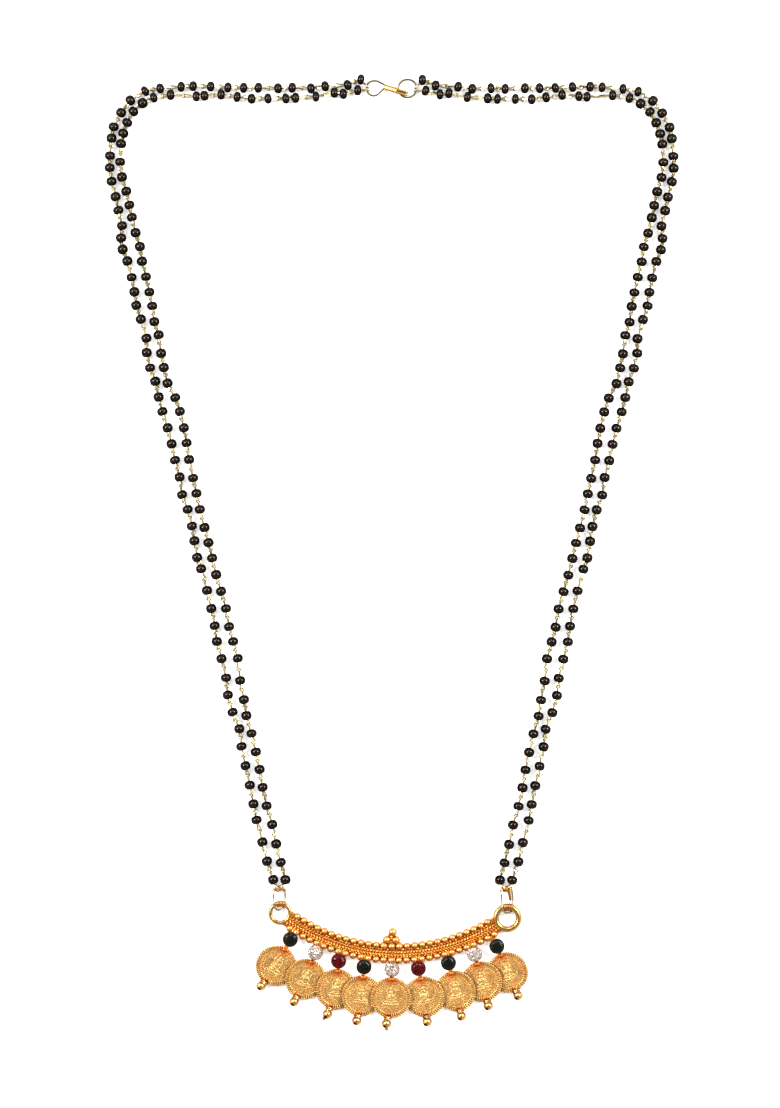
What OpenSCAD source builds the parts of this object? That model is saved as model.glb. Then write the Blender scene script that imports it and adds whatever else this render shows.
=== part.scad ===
// Temple necklace laid flat: two double lines of small black glass beads on gold wire, a hook
// and ring clasp, and a curved granulated bar that carries nine set stones and nine coins.
// The origin is the middle of the outline on the surface that it lies on.
// +Y runs from the coins to the clasp and +Z is up. All sizes are in millimetres.

/* [Pendant bar] */
// Radius of the bar's centre line
bar_r = 61.3; // [61.1:0.1:61.5]
// Reach of the bar to the left of its middle, in degrees
bar_left = 33.9; // [33.6:0.1:34.2]
// Reach of the bar to the right of its middle, in degrees
bar_right = 34.7; // [34.4:0.1:35]
// Width of the flat backing strip
strip_w = 5.2; // [5:0.1:5.3]
// Thickness of the flat backing strip
strip_t = 1.2; // [1.1:0.05:1.3]
// Diameter of the two ridge wires along the middle
ridge_d = 1; // [0.9:0.02:1]
// Diameter of the granules on the upper edge
upper_granule_d = 2.3; // [2.1:0.05:2.4]
// Diameter of the granules on the lower edge
lower_granule_d = 2.3; // [2.2:0.05:2.3]
// Spacing of the granules along each edge
granule_pitch = 2.5; // [2.4:0.05:2.6]
// Diameter of the larger granules that crown the middle
crown_granule_d = 2.6; // [2.5:0.05:2.7]

/* [End rings and links] */
// Thickness of the wire of the two end rings
end_wire_d = 1.6; // [1.5:0.05:1.6]
// Middle diameter of the left end ring
end_ring_left_d = 6.3; // [6.2:0.1:6.4]
// Middle diameter of the right end ring
end_ring_right_d = 7.5; // [7.4:0.1:7.6]
// Thickness of the wire of the oval links
link_wire_d = 0.48; // [0.44:0.02:0.5]
// Middle width of an oval link
link_w = 4.5; // [4.4:0.05:4.6]
// Roll of an oval link about its long axis, in degrees
link_roll = 34; // [33:0.5:35]

/* [Stones and cups] */
// Diameter of a stone
stone_d = 4.7; // [4.6:0.05:4.7]
// Gap between a stone and the wall of its cup
stone_gap = 0.07; // [0.05:0.01:0.1]
// Wall of a cup
cup_wall = 0.2; // [0.18:0.01:0.25]
// Height of a cup's rim above the surface
cup_top = 3.4; // [3.3:0.05:3.5]
// Distance from a stone's middle to the middle of the bar's arc
stone_r = 66.3; // [66.2:0.05:66.5]

/* [Coins] */
// Diameter of a coin
coin_d = 13; // [12.8:0.1:13]
// Thickness of a coin at its rim
coin_t = 0.8; // [0.7:0.02:0.8]
// Gap between two coins where one lies over the other
coin_gap = 0.2; // [0.15:0.01:0.25]
// Distance from a stone's middle to the middle of its coin
coin_drop = 9.45; // [9.4:0.05:9.6]
// Diameter of the ball below a coin
ball_d = 2.7; // [2.6:0.05:2.8]

/* [Bead lines] */
// Diameter of a bead
bead_d = 3.3; // [3.1:0.05:3.3]
// Length of a bead along its wire
bead_l = 2.8; // [2.5:0.05:2.8]
// Diameter of the flatter beads near the clasp
flat_bead_d = 3; // [2.9:0.05:3]
// Length of the flatter beads near the clasp along their wire
flat_bead_l = 2; // [1.8:0.05:2.1]
// Thickness of the doubled wire between two beads
thread_d = 0.9; // [0.8:0.05:1]
// Gap between two stretches of a bead line where their wire loops meet
loop_gap = 0.24; // [0.2:0.02:0.3]

/* [Clasp] */
// Thickness of the wire of the hook and the ring
clasp_wire_d = 0.5; // [0.46:0.01:0.5]
// Middle diameter of the clasp ring
clasp_ring_d = 5.9; // [5.8:0.05:6]
// Middle diameter of the hook's loop
hook_loop_d = 4.9; // [4.8:0.05:5]

/* [Hidden] */
$fn = 48;
SIDES = ["left", "right"];
LINES = ["outer", "inner"];
DROPS = 9;
RUNS = 8;

// Colours
bar_gold = "#d98a2b";
coin_gold = "#dba750";
wire_gold = "#e6cf8c";
bead_black = "#1d1415";
stone_green = "#1d2b22";
stone_clear = "#cfc8d2";
stone_red = "#5c0f1e";

// The drops from left to right. Angles are in degrees and count to the left as positive: where
// the stone sits on the bar, which way its coin hangs, and which way the ball points. Each is
// followed by how much further out than usual it is. Then comes 1 where the ball has a small
// granule at its tip, and which way that points.
STONE_AT = 0;
STONE_OUT = 1;
COIN_WAY = 2;
COIN_OUT = 3;
BALL_WAY = 4;
BALL_OUT = 5;
BALL_TIP = 6;
TIP_WAY = 7;
drop_table = [
    [29.8, 0, 27.8, 0.5, 37.2, 0, 0, 0],
    [21.8, 0, 21, 0, 26.3, 0, 0, 0],
    [14.9, 0, 5, 0, 19.6, 0.35, 1, 38],
    [7.6, 0, 5, 0.2, 10.8, 0.05, 0, 0],
    [-0.3, 0, 2, -0.15, 10, 0.35, 1, 0],
    [-7.7, 0, -12, 0.2, -6.2, 0, 0, 0],
    [-16.3, 0, -14.5, 0.2, -12.5, 0.15, 0, 0],
    [-24, 0, -15.5, 0, -14.3, -0.1, 0, 0],
    [-30.6, 0.8, -22, 0, -24.2, 0, 0, 0]
];
stone_colours = [
    stone_green, stone_clear, stone_red, stone_green, stone_clear, stone_red, stone_green,
    stone_clear, stone_green
];
middle_drop = 4;

// The bar's arc: its centre, and the direction of its middle as seen from there
arc_centre = [1.75, -68.75];
arc_middle = -91.7;
upper_row_r = bar_r - 2.5;
lower_row_r = bar_r + 2.2;
ridge_offsets = [-0.45, 0.45];
ridge_z = 1.5;
granule_z = 1.45;
row_end_gap = 1.1;

// The crown: a small plate with granules, stepping up from the upper row. Each granule has its
// distance from the arc's centre and its place to the right of the bar's middle.
crown_granules = [[56.9, -1.6], [56.9, 1.3], [54.3, 0.2]];
crown_plate_t = 1;
crown_z = 1.5;
crown_foot_w = 4.6;
crown_tip_w = 1.2;
crown_tip_r = 53.7;

// End rings, at angles past the middle of the bar
end_ring_z = 1.55;
end_ring_left_at = 36.6;
end_ring_right_at = 37.5;

// Cups: floor, the arm to the strip, and the hidden headed post that the coin's lug turns on.
// A neck runs from the lug to the coin, no higher than clears the cup's floor.
cup_floor_z = 1.95;
cup_floor_t = 0.35;
cup_r = stone_d / 2 + stone_gap + cup_wall;
arm_w = 1.8;
arm_z = [0.9, 2.1];
arm_r = [62.6, 64.8];
post_d = 0.8;
post_head_d = 1.9;
post_head_z = [0.25, 0.7];
post_sink = 0.1;
lug_d = 2.6;
lug_hole_d = 1.5;
lug_t = 0.5;
lug_z = 1.15;
lug_neck_d = 0.6;
neck_top_z = 1.85;
neck_reach = 1;
neck_sink = 0.5;

// Stones: their clearance over the floor, their heights, and the width of the flat table and foot
stone_lift = 0.05;
pavilion_h = 0.75;
girdle_h = 0.25;
crown_h = 0.65;
table_share = 0.58;
culet_share = 0.5;

// Coins lie shingled: each tilts up on its outer neighbour and the middle one lies over both
coin_low_edge = 0.4;
outer_lean = 0.09;
coin_recess_d = 11;
coin_recess_t = 0.12;
ball_reach = 8.15;
collar_d = 1.7;
collar_sink = 0.5;
ball_low_z = ball_d / 2 + 0.02;
tip_d = 1;
tip_reach = 1.7;

// Bead lines: the middles of the left half's beads, from the clasp down to the link.
// The right half mirrors them, a little lower and leaning out down the line.
right_lean = 0.0027;
right_lean_from = 151;
right_drop = 0.15;
BEADS = 64;
FLAT_BEADS = 14;
beads_per_run = BEADS / RUNS;
outer_beads = [
    [-10, 154], [-14.3, 152.2], [-21.6, 151.8], [-26.2, 151.1], [-32.3, 151.3], [-36.9, 151.1],
    [-43.3, 151.3], [-48.1, 151.3], [-53.2, 151.4], [-58.8, 151.7], [-64.5, 151.8], [-68.4, 151.6],
    [-75.2, 151.1], [-80.1, 150.2], [-84.9, 147.2], [-87.9, 143.2], [-90.3, 138.6], [-91, 134.9],
    [-91.5, 129.2], [-91.6, 125.3], [-91, 120.9], [-89.7, 115.9], [-88.8, 111.5], [-87.6, 106.5],
    [-87.9, 102.5], [-87.4, 98.8], [-85.9, 95], [-84.5, 89.7], [-83.6, 85], [-83, 80.6],
    [-81.5, 76.1], [-79.7, 69.9], [-79.6, 65.2], [-78.5, 60.3], [-76.8, 55.9], [-75.7, 50.8],
    [-74.5, 46.1], [-72.8, 40.8], [-71.5, 35.6], [-70.4, 30.3], [-68.9, 24.8], [-68.1, 19.1],
    [-66.3, 14.3], [-64.9, 8.9], [-64.1, 4.1], [-63.2, -1.3], [-61.9, -5], [-60, -12],
    [-58.6, -17.9], [-57.5, -23.5], [-56.8, -28.6], [-55.3, -34.2], [-53.8, -40.4], [-53.2, -46],
    [-51.7, -51.6], [-49.5, -57], [-48.8, -62.7], [-47.5, -69], [-46.1, -75.3], [-44.9, -81.4],
    [-43.9, -86.6], [-42, -93.8], [-40.5, -100], [-38.5, -106]
];
inner_beads = [
    [-11, 150.5], [-15.7, 149.3], [-18.6, 149.7], [-24.6, 148.4], [-31.2, 148], [-34.4, 147.8],
    [-40.2, 147.8], [-45.5, 147.7], [-50.2, 148.3], [-55.4, 149.1], [-60.8, 148.7], [-63.5, 148.5],
    [-71.8, 149], [-77.3, 148.1], [-80.9, 146.3], [-83.9, 143.6], [-85.9, 140], [-87.2, 136.5],
    [-87.9, 133.1], [-88.2, 127.2], [-87.6, 122.3], [-86.2, 117.7], [-85.2, 113.2], [-84.4, 109.2],
    [-83.2, 104.2], [-81.8, 99.7], [-81.1, 94.9], [-79.8, 89.9], [-78.7, 84.9], [-77.8, 80.4],
    [-77.1, 75.3], [-75.7, 71], [-74.9, 65], [-74, 60.4], [-72.8, 55.3], [-70.3, 50.6],
    [-68.8, 46.1], [-67.5, 40.8], [-66.6, 35.9], [-65.8, 30.5], [-64.5, 24.5], [-63.4, 19.5],
    [-62.3, 14.3], [-60.8, 8.4], [-59.5, 3.5], [-58.3, -1.5], [-57, -6.9], [-55.4, -12.3],
    [-53.8, -17.9], [-52.8, -23.8], [-51.5, -28.6], [-50, -34.1], [-49.2, -41.3], [-48, -47.5],
    [-47.2, -52.7], [-45.5, -58.5], [-44.1, -64.5], [-42.9, -70.2], [-41.9, -76], [-40.6, -82],
    [-38.8, -88.1], [-37.5, -94.4], [-36, -100.4], [-34.5, -106]
];
bead_z = bead_d / 2;
thread_inset = 0.7;
eye_d = 1.7;
eye_wire_d = 0.44;
eye_stem_d = 0.6;

// Middles of the small wire eyes at the ends of the left bead lines, and the heights of each pair
// on the left and on the right. At the clasp they hang on the hook and lower down on the ring.
outer_clasp_eye = [-8.05, 151.85];
inner_clasp_eye = [-8.05, 150.45];
outer_link_eye = [-37.35, -108.25];
inner_link_eye = [-35.75, -108.25];
clasp_eye_z = [1.4, 1.1];
outer_link_eye_z = [1.9, 1.2];
inner_link_eye_z = [1.2, 1.9];

// Clasp heights: the hook's shank passes over the ring's wire and comes back under it
hook_z = 1.43;
clasp_ring_z = 0.85;
hook_back_z = 0.27;
clasp_ring_at = [5.15, 151.2];
hook_loop_at = [-5.7, 151.15];
hook_waist = [-2.1, 151.1];
hook_tip = [4.5, 149.6];
shank_half_w = 0.42;
hook_back_l = 3;
waist_trim = 0.5;
LOOP_STEPS = 26;
WAIST_STEPS = 5;
BEND_STEPS = 10;
WIRE_SIDES = 12;

// Knuckles join straight and bent wire: their size by the wire's, and how deep a wire ends in one
knuckle = 1.08;
knuckle_inset = 0.03;

// Oval links: the top of each, where the eyes hang on it, and its foot inside the end ring
link_top_left = [-36.55, -108.2];
link_foot_left = [-36.45, -115.9];
link_top_right = [37.25, -108.35];
link_foot_right = [37.95, -116.9];

// Plane directions and small helpers
function unit(v) = v / norm(v);
function heading(v) = atan2(v[1], v[0]);
function on_arc(r, at) = arc_centre + r * [cos(arc_middle - at), sin(arc_middle - at)];
function hanging(way) = [-sin(way), -cos(way)];
function arc_step(r) = granule_pitch / r * 180 / PI;

// A bead's diameter and length, from its number on the line
function bead_size(k) = k < FLAT_BEADS ? [flat_bead_d, flat_bead_l] : [bead_d, bead_l];

// A point of a bead line on its own side
function to_side(side, p) =
    side == "left" ? p : [right_lean * (right_lean_from - p[1]) - p[0], p[1] - right_drop];

// Coins: middle, outer neighbour, and the sine of the tilt that clears that neighbour
function stone_reach(i) = stone_r + drop_table[i][STONE_OUT];
function stone_at(i) = on_arc(stone_reach(i), drop_table[i][STONE_AT]);
function coin_at(i) =
    stone_at(i) + (coin_drop + drop_table[i][COIN_OUT]) * hanging(drop_table[i][COIN_WAY]);
function is_outermost(i) = i == 0 || i == DROPS - 1;
function outward(i) = i < middle_drop ? i - 1 : i + 1;
function inward(i) = i < middle_drop ? i + 1 : i - 1;
function uphill(i) =
    is_outermost(i) ? unit(coin_at(i) - coin_at(inward(i))) : unit(coin_at(outward(i)) - coin_at(i));
function spacing(i) = norm(coin_at(i) - coin_at(outward(i)));
function lean(i) =
    is_outermost(i) ? outer_lean
    : max(
        (coin_t + coin_gap) / spacing(i),
        ((coin_d - spacing(i)) * lean(outward(i)) + coin_t + coin_gap) / coin_d
    );
function cover(i) = (coin_d - norm(coin_at(i) - coin_at(middle_drop))) * lean(i);
function coin_tilt(i) = i == middle_drop ? 0 : asin(lean(i));
function coin_z(i) =
    coin_low_edge + coin_t / 2
    + (i == middle_drop
        ? max(cover(middle_drop - 1), cover(middle_drop + 1)) + coin_t + coin_gap
        : coin_d / 2 * lean(i));
// A point of coin i's middle plane, from its place in the plan
function coin_plane(i, v) =
    [coin_at(i)[0] + v[0], coin_at(i)[1] + v[1], coin_z(i) + tan(coin_tilt(i)) * (v * uphill(i))];

// The hook is one closed wire. Each station on it is a point, the way along and the way aside.
function plan_station(p, z, way, side) =
    [[p[0], p[1], z], [way[0], way[1], 0], side * [-way[1], way[0], 0]];
hook_shank = unit(hook_tip - hook_waist);
hook_aside = [-hook_shank[1], hook_shank[0]];
function hook_corner(side) = hook_waist + side * shank_half_w * hook_aside;
function hook_touch(side) =
    heading(hook_corner(side) - hook_loop_at)
    + side * acos(hook_loop_d / 2 / norm(hook_corner(side) - hook_loop_at));
function hook_leave(side) =
    hook_loop_at + hook_loop_d / 2 * [cos(hook_touch(side)), sin(hook_touch(side))];

// The loop's round part, from where the right-hand wire meets it to where the left-hand one leaves
hook_loop_stations = [
    for (k = [0:LOOP_STEPS])
        let (at = hook_touch(-1) + (hook_touch(1) - 360 - hook_touch(-1)) * k / LOOP_STEPS)
        plan_station(
            hook_loop_at + hook_loop_d / 2 * [cos(at), sin(at)], hook_z, [sin(at), -cos(at)], 1
        )
];

// The rounded corner between the loop and the shank
function hook_waist_stations(side) =
    let (
        corner = hook_corner(side),
        loop_way = unit(corner - hook_leave(side)),
        before = side == 1 ? loop_way : -hook_shank,
        after = side == 1 ? hook_shank : -loop_way
    )
    [
        for (k = [0:WAIST_STEPS])
            let (f = k / WAIST_STEPS)
            plan_station(
                corner + waist_trim * (after * f ^ 2 - before * (1 - f) ^ 2),
                hook_z, unit(before * (1 - f) + after * f), 1
            )
    ];

// The upright bend at the tip of the shank, down on the first side and up on the other
function hook_bend_stations(side) =
    let (
        tip = hook_tip + side * shank_half_w * hook_aside,
        bend_r = (hook_z - hook_back_z) / 2
    )
    [
        for (k = [0:BEND_STEPS])
            let (at = side * (90 - 180 * k / BEND_STEPS), out = tip + bend_r * cos(at) * hook_shank)
            [
                [out[0], out[1], hook_back_z + bend_r * (1 + sin(at))],
                side * [hook_shank[0] * sin(at), hook_shank[1] * sin(at), -cos(at)],
                side * [hook_aside[0], hook_aside[1], 0]
            ]
    ];

// The small flat bend that joins both wires under the ring
hook_back_stations = [
    for (k = [0:BEND_STEPS])
        let (
            at = 180 * k / BEND_STEPS,
            out = hook_aside * cos(at) - hook_shank * sin(at)
        )
        plan_station(
            hook_tip - hook_shank * hook_back_l + shank_half_w * out, hook_back_z,
            -hook_aside * sin(at) - hook_shank * cos(at), -1
        )
];

// A round bar between two points
module rod(p, q, d) {
    v = q - p;
    translate(p)
        rotate([0, acos(v[2] / norm(v)), heading(v)])
            cylinder(h = norm(v), d = d);
}

// A straight wire that stops just short of both points, inside the knuckles that sit there
module wire_between(p, q, d) {
    short = unit(q - p) * knuckle_inset;
    rod(p + short, q - short, d);
}

// A ring of round wire in the XY plane
module wire_ring(mid_d, wire_d) {
    rotate_extrude()
        translate([mid_d / 2, 0])
            circle(d = wire_d);
}

// A stretch of a wire ring, from one angle on
module wire_arc(mid_d, wire_d, from, sweep) {
    rotate([0, 0, from])
        rotate_extrude(angle = sweep)
            translate([mid_d / 2, 0])
                circle(d = wire_d);
}

// Places its children on the bar's arc, turned so that their X points away from the arc's centre
module on_bar(at) {
    translate([arc_centre[0], arc_centre[1], 0])
        rotate([0, 0, arc_middle - at])
            children();
}

// Backing strip with the two ridge wires, in one sweep along the arc
module bar_core() {
    on_bar(bar_left)
        rotate_extrude(angle = bar_left + bar_right)
            union() {
                translate([bar_r - strip_w / 2, 0])
                    square([strip_w, strip_t]);
                for (offset = ridge_offsets)
                    translate([bar_r + offset, ridge_z])
                        circle(d = ridge_d);
            }
}

// One row of granules on both sides of the bar's middle, the three in the middle as given
module granule_row(r, d, middle_d) {
    step = arc_step(r);
    end_at = row_end_gap / r * 180 / PI;
    left_count = floor((bar_left - end_at) / step);
    right_count = floor((bar_right - end_at) / step);
    for (k = [-right_count:left_count])
        on_bar(k * step)
            translate([r, 0, granule_z])
                sphere(d = abs(k) <= 1 ? middle_d : d);
}

// Small stepped crown above the bar's middle
module crown() {
    on_bar(0) {
        linear_extrude(crown_plate_t)
            polygon([
                [upper_row_r, -crown_foot_w / 2], [upper_row_r, crown_foot_w / 2],
                [crown_tip_r, crown_tip_w / 2], [crown_tip_r, -crown_tip_w / 2]
            ]);
        for (granule = crown_granules)
            translate([granule[0], granule[1], crown_z])
                sphere(d = crown_granule_d);
    }
}

// A stone cup on its arm, with the headed post under it
module cup(i) {
    on_bar(drop_table[i][STONE_AT]) {
        translate([arm_r[0], -arm_w / 2, arm_z[0]])
            cube([arm_r[1] + drop_table[i][STONE_OUT] - arm_r[0], arm_w, arm_z[1] - arm_z[0]]);
        translate([stone_reach(i), 0, 0]) {
            difference() {
                translate([0, 0, cup_floor_z])
                    cylinder(h = cup_top - cup_floor_z, r = cup_r);
                translate([0, 0, cup_floor_z + cup_floor_t])
                    cylinder(h = cup_top, r = cup_r - cup_wall);
            }
            translate([0, 0, post_head_z[0]])
                cylinder(h = post_head_z[1] - post_head_z[0], d = post_head_d);
            translate([0, 0, post_head_z[0] + post_sink])
                cylinder(h = cup_floor_z - post_head_z[0], d = post_d);
        }
    }
}

module end_ring(at, mid_d) {
    on_bar(at)
        translate([bar_r, 0, end_ring_z])
            wire_ring(mid_d, end_wire_d);
}

module pendant_bar() {
    color(bar_gold) {
        bar_core();
        granule_row(upper_row_r, upper_granule_d, crown_granule_d);
        granule_row(lower_row_r, lower_granule_d, lower_granule_d);
        crown();
        for (i = [0:DROPS - 1])
            cup(i);
        end_ring(end_ring_left_at, end_ring_left_d);
        end_ring(-end_ring_right_at, end_ring_right_d);
    }
}

// A set stone: pavilion, girdle and crown
module stone(i) {
    place = stone_at(i);
    color(stone_colours[i])
        translate([place[0], place[1], cup_floor_z + cup_floor_t + stone_lift]) {
            cylinder(h = pavilion_h, d1 = stone_d * culet_share, d2 = stone_d);
            translate([0, 0, pavilion_h])
                cylinder(h = girdle_h, d = stone_d);
            translate([0, 0, pavilion_h + girdle_h])
                cylinder(h = crown_h, d1 = stone_d, d2 = stone_d * table_share);
        }
}

// Coin plate with a raised rim, tilted on its neighbour
module coin_plate(i) {
    up = uphill(i);
    place = coin_at(i);
    translate([place[0], place[1], coin_z(i)])
        rotate(coin_tilt(i), [up[1], -up[0], 0])
            difference() {
                cylinder(h = coin_t, d = coin_d, center = true);
                translate([0, 0, coin_t / 2 - coin_recess_t])
                    cylinder(h = coin_t, d = coin_recess_d);
            }
}

// Flat lug that turns on the post under the cup, and its neck to the coin
module coin_lug(i) {
    place = stone_at(i);
    to_coin = hanging(drop_table[i][COIN_WAY]);
    translate([place[0], place[1], lug_z - lug_t / 2])
        difference() {
            cylinder(h = lug_t, d = lug_d);
            translate([0, 0, -lug_t])
                cylinder(h = lug_t * 3, d = lug_hole_d);
        }
    start = place + to_coin * (lug_d - neck_sink) / 2;
    held = coin_plane(i, -to_coin * (coin_d / 2 - neck_reach));
    rod([start[0], start[1], lug_z], [held[0], held[1], min(held[2], neck_top_z)], lug_neck_d);
}

// Ball below the coin, on a short collar
module coin_ball(i) {
    way = hanging(drop_table[i][BALL_WAY]);
    flat = coin_plane(i, way * (ball_reach + drop_table[i][BALL_OUT]));
    ball = [flat[0], flat[1], max(flat[2], ball_low_z)];
    rod(coin_plane(i, way * (coin_d / 2 - collar_sink)), ball, collar_d);
    translate(ball)
        sphere(d = ball_d);
    tip = hanging(drop_table[i][TIP_WAY]);
    if (drop_table[i][BALL_TIP] == 1)
        translate(ball + [tip[0], tip[1], 0] * tip_reach)
            sphere(d = tip_d);
}

module coin(i) {
    color(coin_gold) {
        coin_plate(i);
        coin_lug(i);
        coin_ball(i);
    }
}

// An oval wire link from its top to its foot, rolled about its long axis
module link(top, foot, roll) {
    axis = foot - top;
    reach = (norm(axis) - link_w) / 2;
    middle = (top + foot) / 2;
    color(wire_gold)
        translate([middle[0], middle[1], end_ring_z])
            rotate([0, 0, heading(axis)])
                rotate([roll, 0, 0])
                    for (end = [-1, 1]) {
                        side_y = end * link_w / 2;
                        translate([end * reach, 0, 0])
                            wire_arc(link_w, link_wire_d, -end * 90, 180);
                        wire_between([-reach, side_y, 0], [reach, side_y, 0], link_wire_d);
                        for (side = [-1, 1])
                            translate([end * reach, side * link_w / 2, 0])
                                sphere(d = link_wire_d * knuckle);
                    }
}

// A closed wire through its stations
module closed_wire(stations, d) {
    count = len(stations);
    turn = 360 / WIRE_SIDES;
    polyhedron(
        points = [
            for (s = stations, k = [0:WIRE_SIDES - 1])
                s[0] + d / 2 * (cos(k * turn) * s[2] + sin(k * turn) * cross(s[1], s[2]))
        ],
        faces = [
            for (i = [0:count - 1], k = [0:WIRE_SIDES - 1])
                let (
                    here = i * WIRE_SIDES,
                    next = (i + 1) % count * WIRE_SIDES,
                    beside = (k + 1) % WIRE_SIDES
                )
                each [
                    [here + k, next + k, next + beside],
                    [here + k, next + beside, here + beside]
                ]
        ]
    );
}

// The clasp's hook: a wire loop drawn out to a doubled shank that bends back under itself
module clasp_hook() {
    color(wire_gold)
        closed_wire(
            concat(
                hook_loop_stations, hook_waist_stations(1), hook_bend_stations(1),
                hook_back_stations, hook_bend_stations(-1), hook_waist_stations(-1)
            ),
            clasp_wire_d
        );
}

module clasp_ring() {
    color(wire_gold)
        translate([clasp_ring_at[0], clasp_ring_at[1], clasp_ring_z])
            wire_ring(clasp_ring_d, clasp_wire_d);
}

// One oblate bead, its hole along the heading
module bead(p, way, size) {
    color(bead_black)
        translate([p[0], p[1], bead_z])
            rotate([0, 90, way])
                intersection() {
                    sphere(d = size[0]);
                    cylinder(h = size[1], d = size[0] * 1.2, center = true);
                }
}

// Wire from bead to bead, or from a bead to the middle of the way less half the loop gap
module thread(p, q, whole) {
    way = unit(q - p);
    end = whole ? q - way * thread_inset : (p + q) / 2 - way * loop_gap / 2;
    start = p + way * thread_inset;
    color(wire_gold)
        rod([start[0], start[1], bead_z], [end[0], end[1], bead_z], thread_d);
}

// Small upright wire eye at the end of a line, and its stem from the last bead
module end_eye(p, eye) {
    from = [p[0], p[1], bead_z];
    way = unit([eye[0], eye[1], bead_z] - from);
    near = eye - way * eye_d / 2;
    color(wire_gold) {
        rod(from + unit(near - from) * thread_inset, near, eye_stem_d);
        translate(eye)
            rotate([90, 0, heading(way)])
                wire_ring(eye_d, eye_wire_d);
    }
}

// One stretch of a bead line, joined along its wire
module line_run(beads, clasp_eye, link_eye, run) {
    first = (run - 1) * beads_per_run;
    last = first + beads_per_run - 1;
    clasp_end = [clasp_eye[0], clasp_eye[1]];
    link_end = [link_eye[0], link_eye[1]];
    for (k = [first:last]) {
        before = k == 0 ? clasp_end : beads[k - 1];
        after = k == BEADS - 1 ? link_end : beads[k + 1];
        here = beads[k];
        bead(here, heading(after - before), bead_size(k));
        if (k < last)
            thread(here, after, true);
        if (k == last && k < BEADS - 1)
            thread(here, after, false);
        if (k == first && k > 0)
            thread(here, before, false);
    }
    if (run == 1)
        end_eye(beads[0], clasp_eye);
    if (run == RUNS)
        end_eye(beads[BEADS - 1], link_eye);
}

module bead_run(side, line, run) {
    is_outer = line == "outer";
    k = side == "left" ? 0 : 1;
    clasp_eye = to_side(side, is_outer ? outer_clasp_eye : inner_clasp_eye);
    link_eye = to_side(side, is_outer ? outer_link_eye : inner_link_eye);
    link_z = is_outer ? outer_link_eye_z[k] : inner_link_eye_z[k];
    beads = [for (p = is_outer ? outer_beads : inner_beads) to_side(side, p)];
    line_run(beads, concat(clasp_eye, clasp_eye_z[k]), concat(link_eye, link_z), run);
}

pendant_bar();
link(link_top_left, link_foot_left, -link_roll);  // link_left
link(link_top_right, link_foot_right, -link_roll);  // link_right
clasp_hook();
clasp_ring();
for (i = [1:DROPS]) {
    coin(i - 1);
    stone(i - 1);
}
for (side = SIDES, line = LINES, run = [1:RUNS])
    bead_run(side, line, run);
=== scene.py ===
"""Temple necklace: glass bead lines, granulated bar, set stones, coins, links and clasp, modelled around
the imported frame, with the stage that it is looked at on."""

import math
import random
from collections import namedtuple

import bmesh
import bpy
from mathutils import Matrix, Vector


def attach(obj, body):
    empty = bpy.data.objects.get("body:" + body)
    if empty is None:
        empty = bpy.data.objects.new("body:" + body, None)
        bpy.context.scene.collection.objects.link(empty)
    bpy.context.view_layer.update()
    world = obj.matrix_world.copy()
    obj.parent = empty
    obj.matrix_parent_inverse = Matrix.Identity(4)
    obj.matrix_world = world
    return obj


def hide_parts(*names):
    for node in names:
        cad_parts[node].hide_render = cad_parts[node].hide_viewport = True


bl_info = {
    "name": "Temple necklace",
    "version": (1, 0, 0),
    "blender": (4, 5, 0),
    "location": "View3D > Sidebar > Necklace",
    "description": "Builds a coin-fringed bead necklace around its packed frame",
    "category": "Object",
}

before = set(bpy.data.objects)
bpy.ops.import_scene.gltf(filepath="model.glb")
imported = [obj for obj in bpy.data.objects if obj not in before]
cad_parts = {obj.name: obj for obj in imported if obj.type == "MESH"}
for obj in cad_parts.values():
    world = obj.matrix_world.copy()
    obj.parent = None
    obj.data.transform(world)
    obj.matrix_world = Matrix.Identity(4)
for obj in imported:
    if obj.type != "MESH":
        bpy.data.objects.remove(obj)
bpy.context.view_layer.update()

# Everything is worked out in millimetres and turned to metres when a piece is finished
MM = 0.001
MERGE = 1e-4
UP = Vector((0, 0, 1))
QUARTER = math.pi / 2

# The image that the camera frames: its pixels, the millimetres that a pixel covers, and its middle
IMAGE_SIZE = (780, 1108)
PIXEL_MM = 0.325
IMAGE_MIDDLE = (-0.52, -0.2)

# The bar's arc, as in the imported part, and the flat strip along it
ARC_CENTRE = Vector((1.75, -68.75))
ARC_MIDDLE = -91.7
BAR_R = 61.3
BAR_LEFT = 33.9
BAR_RIGHT = 34.7
STRIP_W = 5.2
STRIP_T = 1.2
STRIP_STEPS = 72
SOFT_EDGE = 0.2

# The rows of granules on the strip's edges. Each granule sits on a ring of wire, whose middle is a share
# of the granule's width and lies a little below the granule's middle
UPPER_ROW_R = BAR_R - 2.35
LOWER_ROW_R = BAR_R + 2.2
GRANULE_PITCH = 2.5
GRANULE_Z = 1.45
SEAT_WIRE_D = 0.42
SEAT_SHARE = 0.82
SEAT_DROP = 0.35
ROW_END_GAP = 1.1

# The two twisted wires along the middle of the strip, and the small grains beside them
ROPE_OFFSETS = (-0.45, 0.45)
ROPE_Z = 1.5
ROPE_PITCH = 2.0
STRAND_D = 0.58
STRAND_REACH = 0.26
GRAIN_D = 1.0
GRAIN_ROWS = (BAR_R - 1.3, BAR_R + 1.2)
GRAIN_Z = 1.5
GRAIN_STEP = 0.98
GRAIN_SHIFT = 0.12
GRAIN_RISE = (-0.25, 0.15)
GRAIN_SIZES = (0.8, 1.15)

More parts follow.
